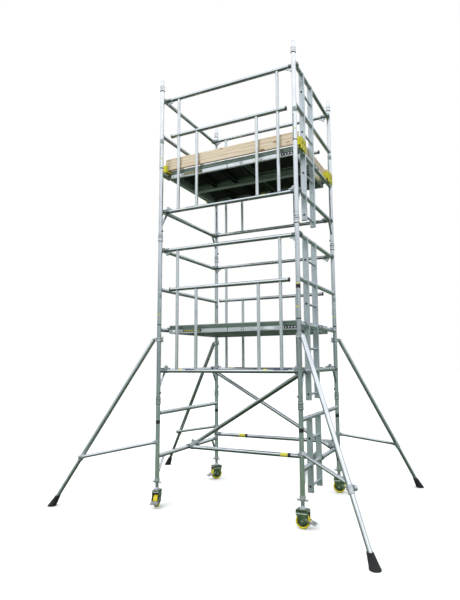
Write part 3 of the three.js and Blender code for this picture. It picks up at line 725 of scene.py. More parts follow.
def end_frame(lift, side):
    """Two legs and their rungs, with the built-in ladder on the right-hand side."""
    kind = "ladder" if side > 0 else "plain"
    node = f"{lift}_{kind}_frame"
    foot = span(f"{lift}_plain_frame")[0].z
    low, high = span(node)
    head = high.z - SPIGOT_HEIGHT
    x = side * BAY_HALF
    shell = Shell()
    rungs = [LOWEST_RUNG + k * RUNG_PITCH for k in range(RUNG_COUNT)]
    rungs = [z for z in rungs if foot < z < head]
    for row in (-1, 1):
        y = row * WIDTH_HALF
        frame_leg(shell, x, y, foot, head)
        knee_brace(shell, x, row, rungs[0])
        leg_labels(shell, x, y, foot, head)
        if foot > 1:
            interlock_clip(shell, x, y, foot, 0 if side < 0 else pi)
    for z in rungs:
        frame_rung(shell, x, z)
    if side > 0:
        ladder_foot = {"base": low.z, "middle": foot, "top": foot + 25}[lift]
        frame_ladder(shell, x, ladder_foot, rungs[-1], rungs)
    make(f"{node}_fine", shell, "tower", [node])


# ---- Claws ---------------------------------------------------------------------------------
def claw_outline(opening, bore, radius):
    """Part of a ring, open towards +X by an angle each side, with rounded lips."""
    lip = (radius - bore) / 2
    middle = bore + lip
    start, end = opening, 360 - opening
    first = Vector((middle * cos(radians(start)), middle * sin(radians(start))))
    last = Vector((middle * cos(radians(end)), middle * sin(radians(end))))
    return (arc(radius, start + 6, end - 6, 36) + arc(lip, end, end + 180, 5, last)[1:-1]
            + arc(bore, end - 6, start + 6, 30) + arc(lip, start + 180, start + 360, 5, first)[1:-1])


def claw(shell, centre, axis, mouth, rail, tube):
    """A cast claw over a rung. rail is the unit direction from the rung back along the tube."""
    centre, axis, mouth, rail = Vector(centre), Vector(axis), Vector(mouth), Vector(rail)
    side = axis.cross(mouth)
    base = frame_of(centre - axis * CLAW_WIDTH / 2, mouth, side, axis)
    extrude(shell, base, claw_outline(60, CLAW_BORE, CLAW_RADIUS), CLAW_WIDTH, "cast", 2.5)
    pipe(shell, centre + rail * 38, centre + rail * 84, tube + 2.4, "cast", 4.5, 32, 0)
    for place in (40, 76):
        band = between(centre + rail * place, centre + rail * (place + 5))
        ring(shell, band, tube + 1, tube + 4, 6, "cast", 1.5)
    for face in (-1, 1):
        pin = centre + rail * 58 + axis * face * (tube + 1.4)
        rivet(shell, between(pin, pin + axis * face * 9), 5.5, 3.5)


def trigger(shell, centre, axis, rail, up):
    """The sprung catch that closes a claw's mouth, with its thumb lever along the tube."""
    centre, axis, rail, up = Vector(centre), Vector(axis), Vector(rail), Vector(up)
    base = frame_of(centre - axis * 7, rail, up, axis)
    if base.to_3x3().determinant() < 0:
        base = frame_of(centre + axis * 7, rail, up, -axis)
    lever = [(26, 20), (34, 17), (60, 22), (112, 23), (116, 30), (106, 38), (84, 41), (74, 58), (60, 68),
             (44, 66), (40, 55), (45, 46), (30, 44), (22, 33)]
    extrude(shell, base, lever, 16, "bright_cast", 2.4)
    pin = centre + rail * 38 + up * 29
    rod(shell, pin - axis * 11, pin + axis * 11, 4, "plated", 1, 14)
    spring = []
    for k in range(28):
        spring.append(centre + rail * (66 + k * 0.8) + up * (27 + 2 * cos(k)) + axis * (9.5 + 2 * sin(k)))
    sweep(shell, spring, arc(0.7, 0, 288, 4), "plated")


# ---- Guardrails ----------------------------------------------------------------------------
def end_cap(shell, point, out):
    """A black plug in the open end of a rail, standing a little proud."""
    point, out = Vector(point), Vector(out)
    ring(shell, between(point - out * 12, point + out), 19.4, RAIL_RADIUS + 1.6, 12, "black_plastic", 1.2)
    rod(shell, point - out * 9, point - out * 0.6, 20, "black_plastic", 1.5)
    block(shell, point + Vector((-6 if out.x > 0 else 1, -5, RAIL_RADIUS)),
          point + Vector((-1 if out.x > 0 else 6, 5, RAIL_RADIUS + 7)), "black_plastic", 1.5)


def guardrail(level, place):
    """A welded panel of three rails and four bars, with claws on the upper and lower rails."""
    node = f"{level}_{place}_guardrail"
    low, high = span(node)
    y = (low.y + high.y) / 2
    bottom = low.z + RAIL_RADIUS
    top = high.z - CLAW_RADIUS
    middle = top - RUNG_PITCH
    shell = Shell()
    rail = Shell()
    ends = [side * MID_RAIL_REACH + BAR_SHIFT for side in (-1, 1)]
    pipe(rail, (ends[0], y, middle), (ends[1], y, middle), RAIL_RADIUS, "rail_metal")
    for z in (bottom, top):
        pipe(rail, (-RAIL_REACH, y, z), (RAIL_REACH, y, z), RAIL_RADIUS, "rail_metal")
    for side, end in zip((-1, 1), ends):
        end_cap(shell, (end, y, middle), (side, 0, 0))
        for z in (bottom, top):
            centre = (side * BAY_HALF, y, z)
            claw(shell, centre, (0, 1, 0), (0, 0, -1), (-side, 0, 0), RAIL_RADIUS)
            trigger(shell, centre, (0, 1, 0), (-side, 0, 0), (0, 0, 1 if z == bottom else -1))
        for distance, rises in BAR_PLACES:
            guardrail_bar(rail, side * distance + BAR_SHIFT, y, bottom, rises)
    along = between((0, y, bottom), (100, y, bottom), (0, -1, 0))
    for start, end, finish in RAIL_LABELS:
        wrap(shell, along, RAIL_RADIUS, *UPPER_SIDE, start, end, finish)
    make(f"{node}_tubes", rail, "tower", [node])
    make(f"{node}_fittings", shell, "tower")


def guardrail_bar(shell, x, y, bottom, rises):
    """An upright between rails, welded at each rail that it meets."""
    head = bottom + rises * RUNG_PITCH
    inside = RAIL_RADIUS - 5
    pipe(shell, (x, y, bottom + inside), (x, y, head - inside), BAR_RADIUS, "bar_metal", 2, 48, 0.45)
    saddle(shell, (x, y, bottom), (1, 0, 0), (0, 0, 1), BAR_RADIUS, RAIL_RADIUS)
    saddle(shell, (x, y, head), (1, 0, 0), (0, 0, -1), BAR_RADIUS, RAIL_RADIUS)
    if rises == 3:
        for up in (-1, 1):
            saddle(shell, (x, y, head - RUNG_PITCH), (1, 0, 0), (0, 0, up), BAR_RADIUS, RAIL_RADIUS)


# ---- Decks ---------------------------------------------------------------------------------
def beam_outline(outward):
    """A deck's side beam in the (Y, Z) plane, with its outer face at Y = 0 and its foot at Z = 0."""
    outer = [(0, DECK_DEPTH), (0, 95), (2.5, 93), (2.5, 89), (0, 87), (0, 80), (2.5, 78), (2.5, 72),
             (0, 70), (0, 62), (3.5, 59), (3.5, 50), (0, 47), (0, 9), (2, 7), (2, 4), (0, 2), (0, 0)]
    inner = [(30, 0), (30, 5), (8, 6), (7, 12), (7, 76), (9, 83), (30, 84), (30, 87.5), (3.5, 87.5),
             (3.5, DECK_DEPTH)]
    outline = [Vector(p) for p in outer + inner]
    if outward > 0:
        outline = [Vector((-p.x, p.y)) for p in reversed(outline)]
    return outline


def side_beam(shell, y, foot, outward):
    """Its upper, grooved half is painted darker and greenish: painted shade in the grooves and a painted
    reflection of the dark ground. The plain lower face keeps the metal's own tone.
    """
    outline = beam_outline(outward)
    base = frame_of((-DECK_REACH, y, foot), (0, 1, 0), (0, 0, 1), (1, 0, 0))
    first = len(shell.faces)
    extrude(shell, base, outline, 2 * DECK_REACH, "deck_metal", 0.6)
    # Faces of the grooved upper half take the painted shade and reflection.
    for i in range(first, len(shell.faces)):
        heights = [shell.points[k].z - foot for k in shell.faces[i]]
        if 47.5 < sum(heights) / len(heights) < 94 and len(heights) == 4:
            shell.finishes[i] = "deck_dark"


def deck_hook(shell, side, y, z):
    """A cast hook with its web, bolts and wind lock."""
    centre = Vector((side * BAY_HALF, y, z))
    base = frame_of(centre - Vector((0, HOOK_WIDTH / 2, 0)), (0, 0, -1), (-1, 0, 0), (0, 1, 0))
    extrude(shell, base, claw_outline(88, CLAW_BORE, HOOK_RADIUS), HOOK_WIDTH, "cast", 2.2)
    start, end = sorted((side * (DECK_REACH - 4), side * (BAY_HALF - 27)))
    block(shell, (start, y - HOOK_WIDTH / 2 + 1, z - 14), (end, y + HOOK_WIDTH / 2 - 1, z + 19), "cast", 3)
    inner = side * (DECK_REACH + 4)
    start, end = sorted((side * (DECK_REACH - 1), inner))
    block(shell, (start, y - 34, z - 30), (end, y + 34, z + 38), "cast", 2)
    for across in (-26, 26):
        for up in (-18, 26):
            head = Vector((inner, y + across, z + up))
            bolt(shell, between(head, head + Vector((side * 9, 0, 0))), 4.6, 4.5)
    tip = centre + Vector((side * 8, 0, HOOK_RADIUS - 3))
    block(shell, tip + Vector((-13, -6, 0)), tip + Vector((13, 6, 7)), "plated", 2)


def deck_board(shell, low, high, hole):
    """The walking surface, with a rectangular way through where there is a hatch."""
    def corners(x0, y0, x1, y1, z):
        return [Vector((x0, y0, z)), Vector((x1, y0, z)), Vector((x1, y1, z)), Vector((x0, y1, z))]

    if hole is None:
        block(shell, low, high, "plywood", 1)
        return
    outer = (low.x, low.y, high.x, high.y)
    rings = [corners(*outer, low.z), corners(*outer, high.z), corners(*hole, high.z), corners(*hole, low.z)]
    grain = [[Vector((p.y, p.z, p.x)) for p in line] for line in rings]
    shell.skin(rings, grain, "plywood", looped=True)


def deck(level, place):
    """Side beams, end beams, cross-beams and hooks, with the board on them."""
    node = f"{level}_{place}_deck"
    low, high = span(node)
    rung_z = DECK_RUNGS[level]
    top = rung_z + 55
    foot = top - DECK_DEPTH
    hatched = place == "front"
    lid_low, lid_high = span(f"{level}_hatch_lid")
    frame_shell = Shell()
    side_beam(frame_shell, low.y, foot, -1)
    side_beam(frame_shell, high.y, foot, 1)
    for side in (-1, 1):
        start, end = sorted((side * (DECK_REACH - 24), side * DECK_REACH))
        block(frame_shell, (start, low.y + 7, foot), (end, high.y - 7, top - BOARD), "deck_metal", 1.5)
        block(frame_shell, (start, low.y + 4, top - BOARD), (end, high.y - 4, top - 0.4), "deck_metal", 1)
        for edge in (-1, 1):
            y = (low.y + high.y) / 2 + edge * HOOK_OFFSET
            deck_hook(frame_shell, side, y, rung_z)
            # A block inside the beam behind each hook, in the painted shade tone.
            block(frame_shell, (side * 806 - 14, y - 24, foot + 20), (side * 806 + 14, y + 24, foot + 72),
                  "deck_dark", 2)
    for x in (-500, -180, 130):
        # The cross-beams under the board are the deck's aluminium with painted shade, deepest on the left.
        finish = "deck_dark" if x > 0 else "deck_black"
        for y in (low.y + 7, high.y - 67):
            block(frame_shell, (x - 24, y, top - BOARD - 9), (x + 24, y + 60, top - BOARD - 3), finish, 1)
        block(frame_shell, (x - 18, low.y + 7, foot + 30), (x + 18, high.y - 7, top - BOARD - 1), finish, 2)
        block(frame_shell, (x - 26, low.y + 7, foot + 30), (x + 26, high.y - 7, foot + 36), finish, 1)
    for y in (low.y + 14, high.y - 14):
        for k in range(12):
            rivet(frame_shell, upright(-770 + 140 * k, y, top - 0.6), 5, 1.6)
    make(f"{node}_frame", frame_shell, "tower")

    boards = Shell()
    board_low = Vector((-DECK_REACH + 24, low.y + 4, top - BOARD))
    board_high = Vector((DECK_REACH - 24, high.y - 4, top - 1))
    hole = None
    if hatched:
        hole = (lid_low.x - 2, lid_low.y - 2, lid_high.x + 2, lid_high.y + 2)
    deck_board(boards, board_low, board_high, hole)
    make(f"{node}_board", boards, "tower", [node])

    if hatched:
        deck_labels(node, low.y, foot)


def deck_labels(node, face, foot):
    """Plain stickers and clip marks along the front of a deck's side beam."""
    marks = Shell()

    def sticker(x0, x1, z0, z1, finish, proud=0.6):
        block(marks, (x0, face - proud, foot + z0), (x1, face + 0.2, foot + z1), finish, 0.2)

    sticker(-640, -380, 14, 44, "label_dark")
    for k in range(7):
        sticker(-628 + 35 * k, -608 + 35 * k, 23, 35, "label_yellow", 0.9)
    sticker(-790, -735, 14, 42, "label_white")
    for x0, x1, z0, z1 in ((-34, -14, 41, 47), (-27, -21, 12, 41), (-34, -14, 8, 12)):
        sticker(x0, x1, z0, z1, "label_dark")
    sticker(150, 185, 12, 42, "label_dark")
    sticker(158, 177, 18, 36, "label_white", 0.9)
    sticker(330, 560, 16, 40, "label_white")
    sticker(680, 832, 10, 47, "label_dark")
    for k in range(4):
        sticker(694 + 36 * k, 706 + 36 * k, 20, 37, "label_white", 0.9)
    make(f"{node}_labels", marks, "tower")


def hatch_lid(level):
    """The trap door: a framed board with hinge knuckles and a lifting handle."""
    node = f"{level}_hatch_lid"
    low, high = span(node)
    lid = Shell()
    block(lid, (low.x + 3, low.y + 3, low.z), (high.x - 3, high.y - 3, high.z - 1), "plywood", 1)
    make(f"{node}_board", lid, node, [node])
    trim = Shell()
    for y0, y1 in ((low.y, low.y + 16), (high.y - 16, high.y)):
        block(trim, (low.x, y0, low.z - 0.5), (high.x, y1, high.z), "deck_metal", 1)
    for x0, x1 in ((low.x, low.x + 16), (high.x - 16, high.x)):
        block(trim, (x0, low.y + 14, low.z - 0.5), (x1, high.y - 14, high.z), "deck_metal", 1)
    for x in (low.x + 90, high.x - 90):
        block(trim, (x - 40, low.y + 4, high.z - 1), (x + 40, low.y + 46, high.z + 1.2), "plated", 0.6)
        for k in range(3):
            rivet(trim, upright(x - 26 + 26 * k, low.y + 34, high.z + 1), 4, 2)
        rod(trim, (x - 40, low.y - 1, high.z), (x + 40, low.y - 1, high.z), 4.5, "plated", 1, 16)
    middle = (low.x + high.x) / 2
    block(trim, (middle - 70, high.y - 66, high.z - 1), (middle + 70, high.y - 30, high.z + 0.8),
          "black_plastic", 0.5)
    grip = [(middle - 52, high.y - 48, high.z), (middle - 48, high.y - 48, high.z + 5),
            (middle + 48, high.y - 48, high.z + 5), (middle + 52, high.y - 48, high.z)]
    sweep(trim, grip, arc(3.2, 0, 324, 9), "yellow_plastic")
    make(f"{node}_trim", trim, node)


# ---- Toe boards and their clips ------------------------------------------------------------
def toe_board(name):
    """A plank with eased edges and a slight, irregular bow."""
    node = f"{name}_toe_board"
    low, high = span(node)
    size = high - low
    long = 0 if size.x > size.y else 1
    thick = 1 - long
    outline = rounded(-size[thick] / 2 + 0.3, -size.z / 2, size[thick] / 2 - 0.3, size.z / 2, 3, 4)
    middle = (low + high) / 2
    steps = 24
    phase = random.uniform(0, pi)
    rings = []
    grain = []
    for k in range(steps + 1):
        share = k / steps
        eased = inset(outline, 1.6) if k in (0, steps) else outline
        bow = 0.25 * sin(pi * 3 * share + phase)
        line = []
        for p in eased:
            point = [0, 0, middle.z + p.y]
            point[long] = low[long] + size[long] * share
            point[thick] = middle[thick] + p.x + bow
            line.append(Vector(point))
        rings.append(line)
        grain.append([Vector((p.x, p.y, size[long] * share)) for p in eased])
    shell = Shell()
    shell.skin(rings, grain, "softwood")
    make(f"{node}_plank", shell, "tower", [node])


def toe_clip(corner):
    """A moulded corner: a block over the rung, a pocket for the board and a lip that hangs down."""
    node = f"{corner}_toe_clip"
    low, high = span(node)
    side = 1 if "right" in corner else -1
    row = 1 if "back" in corner else -1
    base = high.z - CLIP_HEIGHT

    def piece(x0, x1, y0, y1, z0, z1, finish="yellow_plastic", soft=4):
        xs = sorted((side * x0, side * x1))
        ys = sorted((row * y0, row * y1))
        block(shell, (xs[0], ys[0], z0), (xs[1], ys[1], z1), finish, soft)

    shell = Shell()
    piece(907, 948, 483, 654, base, high.z)
    piece(866, 911, 483, 600, base, high.z)
    piece(866, 911, 630, 654, base, high.z)
    piece(868, 911, 596, 634, base, base + 24)
    piece(934, 950, 486, 650, low.z, base + 12, soft=5)
    for y in (488, 566, 646):
        piece(940, 952, y - 5, y + 5, low.z + 4, high.z - 2, soft=2.5)
    for z in (base + 6, base + 54, high.z - 6):
        piece(940, 952, 484, 653, z - 5, z + 5, soft=2.5)
    for y in (527, 606):
        piece(944, 949.2, y - 26, y + 26, base + 14, base + 50, "ochre_plastic", 2)
        piece(944, 951, y - 22, y + 22, low.z + 12, base - 6, "ochre_plastic", 3)
    for y in (505, 545, 585):
        piece(872, 930, y - 3, y + 3, high.z - 2, high.z, "ochre_plastic", 0.8)
    make(f"{node}_moulding", shell, "tower", [node])


# ---- Braces --------------------------------------------------------------------------------
def tube_brace(name, mouth):
    """A brace between two rungs, with a claw at each end."""
    node = f"{name}_brace"
    (start_y, start_rung), (end_y, end_rung) = BRACE_ENDS[name]
    start = Vector((-BAY_HALF, start_y, LOWEST_RUNG + start_rung * RUNG_PITCH))
    end = Vector((BAY_HALF, end_y, LOWEST_RUNG + end_rung * RUNG_PITCH))
    along = (end - start).normalized()
    flat = Vector((along.x, 0, along.z)).normalized()
    shell = Shell()
    pipe(shell, start + along * 48, end - along * 48, BRACE_RADIUS, "rail_metal", 2.2, 56, 0.5)
    for point, sign in ((start, 1), (end, -1)):
        heading = Vector((0, 0, -1)) if mouth == "down" else flat * -sign
        claw(shell, point, (0, 1, 0), heading, flat * sign, BRACE_RADIUS)
        trigger(shell, point, (0, 1, 0), flat * sign, Vector((-flat.z, 0, flat.x)))
    if name == "front_horizontal":
        brace_label(shell, end - along * 490, along)
    make(f"{node}_fine", shell, "tower", [node])


def brace_label(shell, point, along):
    """A yellow label and a black band next to it, that tell one length of brace from another."""
    band = between(point, point + along)
    wrap(shell, band, BRACE_RADIUS, 0, 356, 0, 90, "label_yellow")
    wrap(shell, band, BRACE_RADIUS, 0, 356, 92, 128, "black_plastic")


def leg_brace():
    """The brace that clamps on the two back legs, just above the castors."""
    node = "back_horizontal_brace"
    low, high = span(node)
    y, z = WIDTH_HALF, (low.z + high.z) / 2
    shell = Shell()
    pipe(shell, (-RAIL_REACH, y, z), (RAIL_REACH, y, z), BRACE_RADIUS, "rail_metal", 2.2, 48, 0.45)
    for side in (-1, 1):
        claw(shell, (side * BAY_HALF, y, z), (0, 0, 1), (side, 0, 0), (-side, 0, 0), BRACE_RADIUS)
        trigger(shell, (side * BAY_HALF, y, z), (0, 0, 1), (-side, 0, 0), (0, 1, 0))
    brace_label(shell, Vector((-520, y, z)), Vector((1, 0, 0)))
    make(f"{node}_fine", shell, "tower", [node])


# ---- Adjustable legs and castors -----------------------------------------------------------
def thread(shell, base, radius, depth, pitch, low, high, finish):
    """A screwed bar: the surface dips along a helix."""
    sides = THREAD_SIDES
    rings = []
    grain = []
    steps = int((high - low) / pitch * THREAD_LAYERS)
    for i in range(steps + 1):
        height = low + (high - low) * i / steps
        line = []
        for k in range(sides):
            turn = (height / pitch - k / sides) % 1
            dip = depth * (1 - abs(2 * turn - 1)) if 0 < i < steps else depth
            angle = 2 * pi * k / sides
            line.append(Vector(((radius - dip) * cos(angle), (radius - dip) * sin(angle), height)))
        grain.append(line)
        rings.append([base @ point for point in line])
    shell.skin(rings, grain, finish)


def adjustable_leg(corner, axis):
    """A screw with a plain top, and the cast cap by which it stands on the castor."""
    node = f"{corner}_adjustable_leg"
    low, high = span(node)
    base = upright(axis.x, axis.y, 0)
    shell = Shell()
    thread(shell, base, 19, 1.5, 6, low.z + 15, 230, "thread_steel")
    lathe(shell, base, [
        (17, 228), (18.6, 232), (18.6, high.z - 6), (16, high.z),
    ], "thread_steel", 32)
    lathe(shell, upright(axis.x, axis.y, low.z), [
        (12.4, 0), (28.6, 0), (30, 1.6), (30, 6.5), (28, 9.5), (22.5, 13), (19.6, 22), (17.2, 24), (12.4, 24),
    ], "bright_cast", 48, hollow=True)
    make(f"{node}_screw", shell, node, [node])


def leg_nut(corner, axis):
    """A cast nut with two winding handles and a castellated rim under the leg."""
    node = f"{corner}_leg_nut"
    low, high = span(node)
    place = upright(axis.x, axis.y, 0)
    shell = Shell(place)
    lathe(shell, Matrix.Translation((0, 0, low.z)), [
        (20.2, 1), (25, 0), (27.5, 2), (28, 14), (30.5, 18), (31, 22), (31, 34), (29, 38), (29, 50),
        (31, 52), (31, 55), (29.5, 56), (20.2, 56),
    ], "bright_cast", 48, hollow=True)
    middle = (low.z + high.z) / 2 - 16
    for turn in (0, pi):
        wing = Matrix.Rotation(turn, 4, "Z") @ between((0, 7, middle), (0, -7, middle), (1, 0, 0))
        outline = [(24, -11), (40, -8), (55, -9), (61, -4), (62, 2), (58, 8), (50, 9), (38, 5), (24, 11)]
        extrude(shell, wing, outline, 14, "bright_cast", 2.6)
    for k in range(8):
        notch = Matrix.Rotation(2 * pi * (k + 0.5) / 8, 4, "Z")
        rivet(shell, notch @ between((29.4, 0, high.z - 12), (40, 0, high.z - 12)), 3, 1.4, "thread_steel")
    make(f"{node}_casting", shell, node, [node])


def pedal_pin(y):
    """A point on the brake pedal's pivot, in the castor's frame."""
    return Vector((48, y, -222))


def cheek_outline(wheel_z):
    """The side of the fork, from the head plate down past the axle, with round corners."""
    return (arc(12, 90, 180, 4, (-53, -142)) + [Vector((-65, -178)), Vector((-40, wheel_z + 30))]
            + arc(32, 190, 320, 8, (0, wheel_z + 2)) + [Vector((50, wheel_z - 16)), Vector((65, wheel_z + 8))]
            + arc(12, 0, 90, 4, (53, -142)))


def castor_fork(corner, axis, heading):
    """Swivel head, ball race, pressed cheeks and the axle bolt."""
    node = f"{corner}_castor_fork"
    wheel_z = GROUND + WHEEL_RADIUS
    place = upright(axis.x, axis.y, 0, heading)
    shell = Shell(place)
    extrude(shell, upright(0, 0, -144), rounded(-64, -40.5, 64, 40.5, 16, 5), 10.5, "fork_steel", 3)
    extrude(shell, upright(0, 0, -150), rounded(-65, -41, 65, 41, 16, 5), 8, "zinc", 1.6)
    lathe(shell, Matrix(), [
        (35, -150), (36, -147), (36, -139.5), (33.5, -137), (33.5, -134.5), (36, -132), (36, -128),
        (34, -125.8), (20, -125.6),
    ], "bright_cast", 48)
    rod(shell, (0, 0, -148), (0, 0, -76), 11, "plated", 2, 28)
    bolt(shell, Matrix.Translation((0, 0, -151)) @ Matrix.Rotation(pi, 4, "X"), 13, 11)
    for x in (-50, 50):
        for y in (-28, 28):
            rivet(shell, Matrix.Translation((x, y, -134.4)), 6, 3)
    for side in (-1, 1):
        plate(shell, (0, side * CHEEK_INNER, 0), (0, side * CHEEK_OUTER, 0), cheek_outline(wheel_z),
              "fork_steel", 1.2)
        strip = sorted((side * 40.5, side * 43))
        block(shell, (-62, strip[0], -173), (62, strip[1], -165), "zinc", 1)
        rib = [(-54, side * 41, -178), (-34, side * 41.4, wheel_z + 30), (-20, side * 41.4, wheel_z + 4)]
        sweep(shell, rib, arc(2.6, 0, 315, 7), "fork_steel")
        bolt(shell, between((0, side * CHEEK_OUTER, wheel_z), (0, side * 60, wheel_z)), 10, 9)
        ring(shell, between((0, side * 32, wheel_z), (0, side * CHEEK_INNER, wheel_z)), 6.5, 13, 4, "plated")
        rivet(shell, between(pedal_pin(side * 47.4), pedal_pin(side * 60)), 8, 3.5)
        rod(shell, pedal_pin(side * CHEEK_OUTER), pedal_pin(side * 47.6), 4.5, "plated", 0.6, 16)
    rod(shell, (0, -CHEEK_OUTER, wheel_z), (0, CHEEK_OUTER, wheel_z), 6, "plated", 1, 24)
    block(shell, (18, -22, -170), (58, 22, -152), "black_plastic", 4)
    make(f"{node}_assembly", shell, node, [node])


def castor_wheel(corner, axis, heading):
    """A yellow tyre on a spoked hub with a bearing in its boss."""
    node = f"{corner}_castor_wheel"
    wheel_z = GROUND + WHEEL_RADIUS
    shell = Shell(upright(axis.x, axis.y, 0, heading))
    base = between((0, 0, wheel_z), (0, 1, wheel_z), (1, 0, 0))
    shoulder = [(p.x, p.y) for p in arc(8, 0, 90, 5, (67, 17))] + [(60, 25), (57, 23), (55.5, 18)]
    tyre = [(r, -h) for r, h in reversed(shoulder)]
    for h in (-9, 0, 9):
        tyre += [(WHEEL_RADIUS, h - 1.6), (WHEEL_RADIUS - 1, h - 1.1), (WHEEL_RADIUS - 1, h + 1.1),
                 (WHEEL_RADIUS, h + 1.6)]
    tyre += shoulder
    lathe(shell, base, tyre, "tyre_yellow", 72, hollow=True)
    hub = [(6.9, -31), (18, -31), (19.5, -29.5), (20.5, -14), (24, -9), (46, -7), (52, -15), (55.6, -18),
           (55.6, 18), (52, 15), (46, 7), (24, 9), (20.5, 14), (19.5, 29.5), (18, 31), (6.9, 31)]
    lathe(shell, base, hub, "fork_steel", 60, hollow=True)
    for face in (-1, 1):
        ring(shell, base @ Matrix.Translation((0, 0, face * 30.4)), 7, 15.5, 1.2, "plated", 0.4, 32)
        for k in range(6):
            turn = base @ Matrix.Rotation(pi * k / 3, 4, "Z")
            low, high = sorted((face * 7, face * 14.5))
            extrude(shell, turn @ Matrix.Translation((0, 0, low)), rounded(20, -3, 54, 3, 2), high - low,
                    "fork_steel", 1)
    make(f"{node}_fine", shell, node, [node])


def brake_pedal(corner, axis, heading):
    """Two arms outside the cheeks and the treadle between them, with a ribbed toe plate."""
    node = f"{corner}_brake_pedal"
    shell = Shell(upright(axis.x, axis.y, 0, heading))
    inner, outer = 42.2, 46.8
    arm = arc(13, 90, 230, 6, (-2, 0)) + [(36, -30), (44, -32), (44, -21), (30, -14)]
    tread = [(36.5, -29), (60, -37), (92, -47.2), (94, -46), (93, -42), (60, -30), (40, -20.5), (36.5, -18.5)]
    for side in (-1, 1):
        plate(shell, pedal_pin(side * inner), pedal_pin(side * outer), arm, "plated", 1.2)
    plate(shell, pedal_pin(outer), pedal_pin(-outer), tread, "plated", 1.6)
    for k in range(5):
        along = Vector((50 + 8 * k, 0, -22.6 - 2.48 * k))
        rod(shell, pedal_pin(-40) + along, pedal_pin(40) + along, 2, "plated", 0.8, 10)
    make(f"{node}_pressing", shell, node, [node])


def castor_set(corner):
    """A leg, its nut and its castor, which heads the way its brake's pivot lies."""
    axis = from_row(LEG_AXES[corner])
    pivot = from_row(JOINTS[f"{corner}_brake_press"]["pos_m"]) - axis
    heading = atan2(pivot.y, pivot.x)
    adjustable_leg(corner, axis)
    leg_nut(corner, axis)
    castor_fork(corner, axis, heading)
    castor_wheel(corner, axis, heading)
    brake_pedal(corner, axis, heading)


# ---- Stabilisers ---------------------------------------------------------------------------
def clamp_bolts(shell, x, y, z):
    """A bolt through a clamp's ears, with a winged nut."""
    reach = 30
    rod(shell, (x, y, z - reach), (x, y, z + reach), 4.5, "plated", 1, 16)
    bolt(shell, Matrix.Translation((x, y, z + reach - 4)), 8, 8)
    for side in (-1, 1):
        wing = [(x + side * out, y, z - reach + rise) for out, rise in ((4, 4), (13, 1), (20, -5))]
        sweep(shell, wing, arc(3.4, 0, 315, 7), "plated")


def stabiliser_tube(corner, place, top, down, collar):
    """The outer tube, with its clamp on the tower's leg and the sleeve that the arm turns on."""
    node = f"{corner}_stabiliser_tube"
    head = top.z
    shell = Shell(place)
    end = collar + down * TUBE_PAST_COLLAR
    pipe(shell, top + down * 4, end, LEG_RADIUS, "frame_metal", 2.6, 56, 0.6)
    rod(shell, top, top + down * 16, 24.6, "black_plastic", 3, 32)
    ring(shell, between(end - down * 22, end + down), 25.3, 28.6, 24, "bright_cast", 2)
    sleeve = between(collar - down * 30, collar)
    lathe(shell, sleeve, [
        (25.5, 0), (28.2, 0), (29.2, 2), (29.2, 14), (28.2, 17), (28.2, 43), (29.2, 46), (29.2, 58),
        (28.2, 60), (25.5, 60),
    ], "bright_cast", 48, hollow=True)
    across = Vector((0, 1, 0))
    rod(shell, collar + across * 20, collar + across * 70, 10.8, "plated", 2, 28)
    rivet(shell, between(collar + across * 69, collar + across * 80), 14, 2)
    bolt(shell, between(collar - across * 29, collar - across * 60), 9, 8)
    lathe(shell, upright(0, 0, head - 25), [
        (27, 1.5), (28.5, 0), (36, 0), (38, 2), (38, 11), (35.5, 14), (35.5, 36), (38, 39), (38, 48),
        (36, 50), (28.5, 50), (27, 48.5),
    ], "bright_cast", 48, hollow=True)
    block(shell, (29, -14.5, head - 19), (69, 14.5, head + 19), "bright_cast", 4)
    block(shell, (-49, -12, head - 17), (-34, 12, head + 17), "bright_cast", 4)
    clamp_bolts(shell, -45, 0, head)
    rod(shell, (56, -22, head), (56, 22, head), 6, "plated", 1, 20)
    for side in (-1, 1):
        bolt(shell, between((56, side * 15, head), (56, side * 30, head)), 9, 8)
    make(f"{node}_fine", shell, node, [node])


def stabiliser_foot(corner, place, down, collar, foot):
    """The inner tube with its row of holes, drawn as black domes of painted shade, and the ribbed rubber foot
    that stands level.
    """
    node = f"{corner}_stabiliser_foot"
    shell = Shell(place)
    start = collar + down * (TUBE_PAST_COLLAR - FOOT_OVERLAP)
    end = foot - down * 60
    pipe(shell, start, end, FOOT_RADIUS, "frame_metal", 2.4, 48, 0.4)
    for k in range(4):
        for sign in (-1, 1):
            out = Vector((0, sign, 0))
            face = collar + down * (100 + 90 * k) + out * 21.2
            # A hole drawn as a black dome: painted shade, not an opening.
            rivet(shell, between(face, face + out * 10), 4.6, 1.1, "black_plastic")
    make(f"{node}_tube", shell, node, [node])

    lean = down.x / down.z
    shear = Matrix(((1, 0, lean, foot.x), (0, 1, 0, 0), (0, 0, 1, GROUND), (0, 0, 0, 1)))
    rubber = Shell(place)
    profile = [(20, 1.2), (47, 0), (49.4, 1.2), (50, 4), (49.6, 12), (47, 15), (46, 24)]
    for k in range(9):
        z = 27 + 10 * k
        radius = 45.8 - 1.65 * k
        groove = radius - 2.2
        profile += [(radius, z), (radius, z + 4), (groove, z + 6), (groove, z + 8)]
    profile += [(31, 116), (29.6, 119), (22.2, 120)]
    lathe(rubber, shear, profile, "rubber", 48)
    make(f"{corner}_stabiliser_rubber", rubber, node)


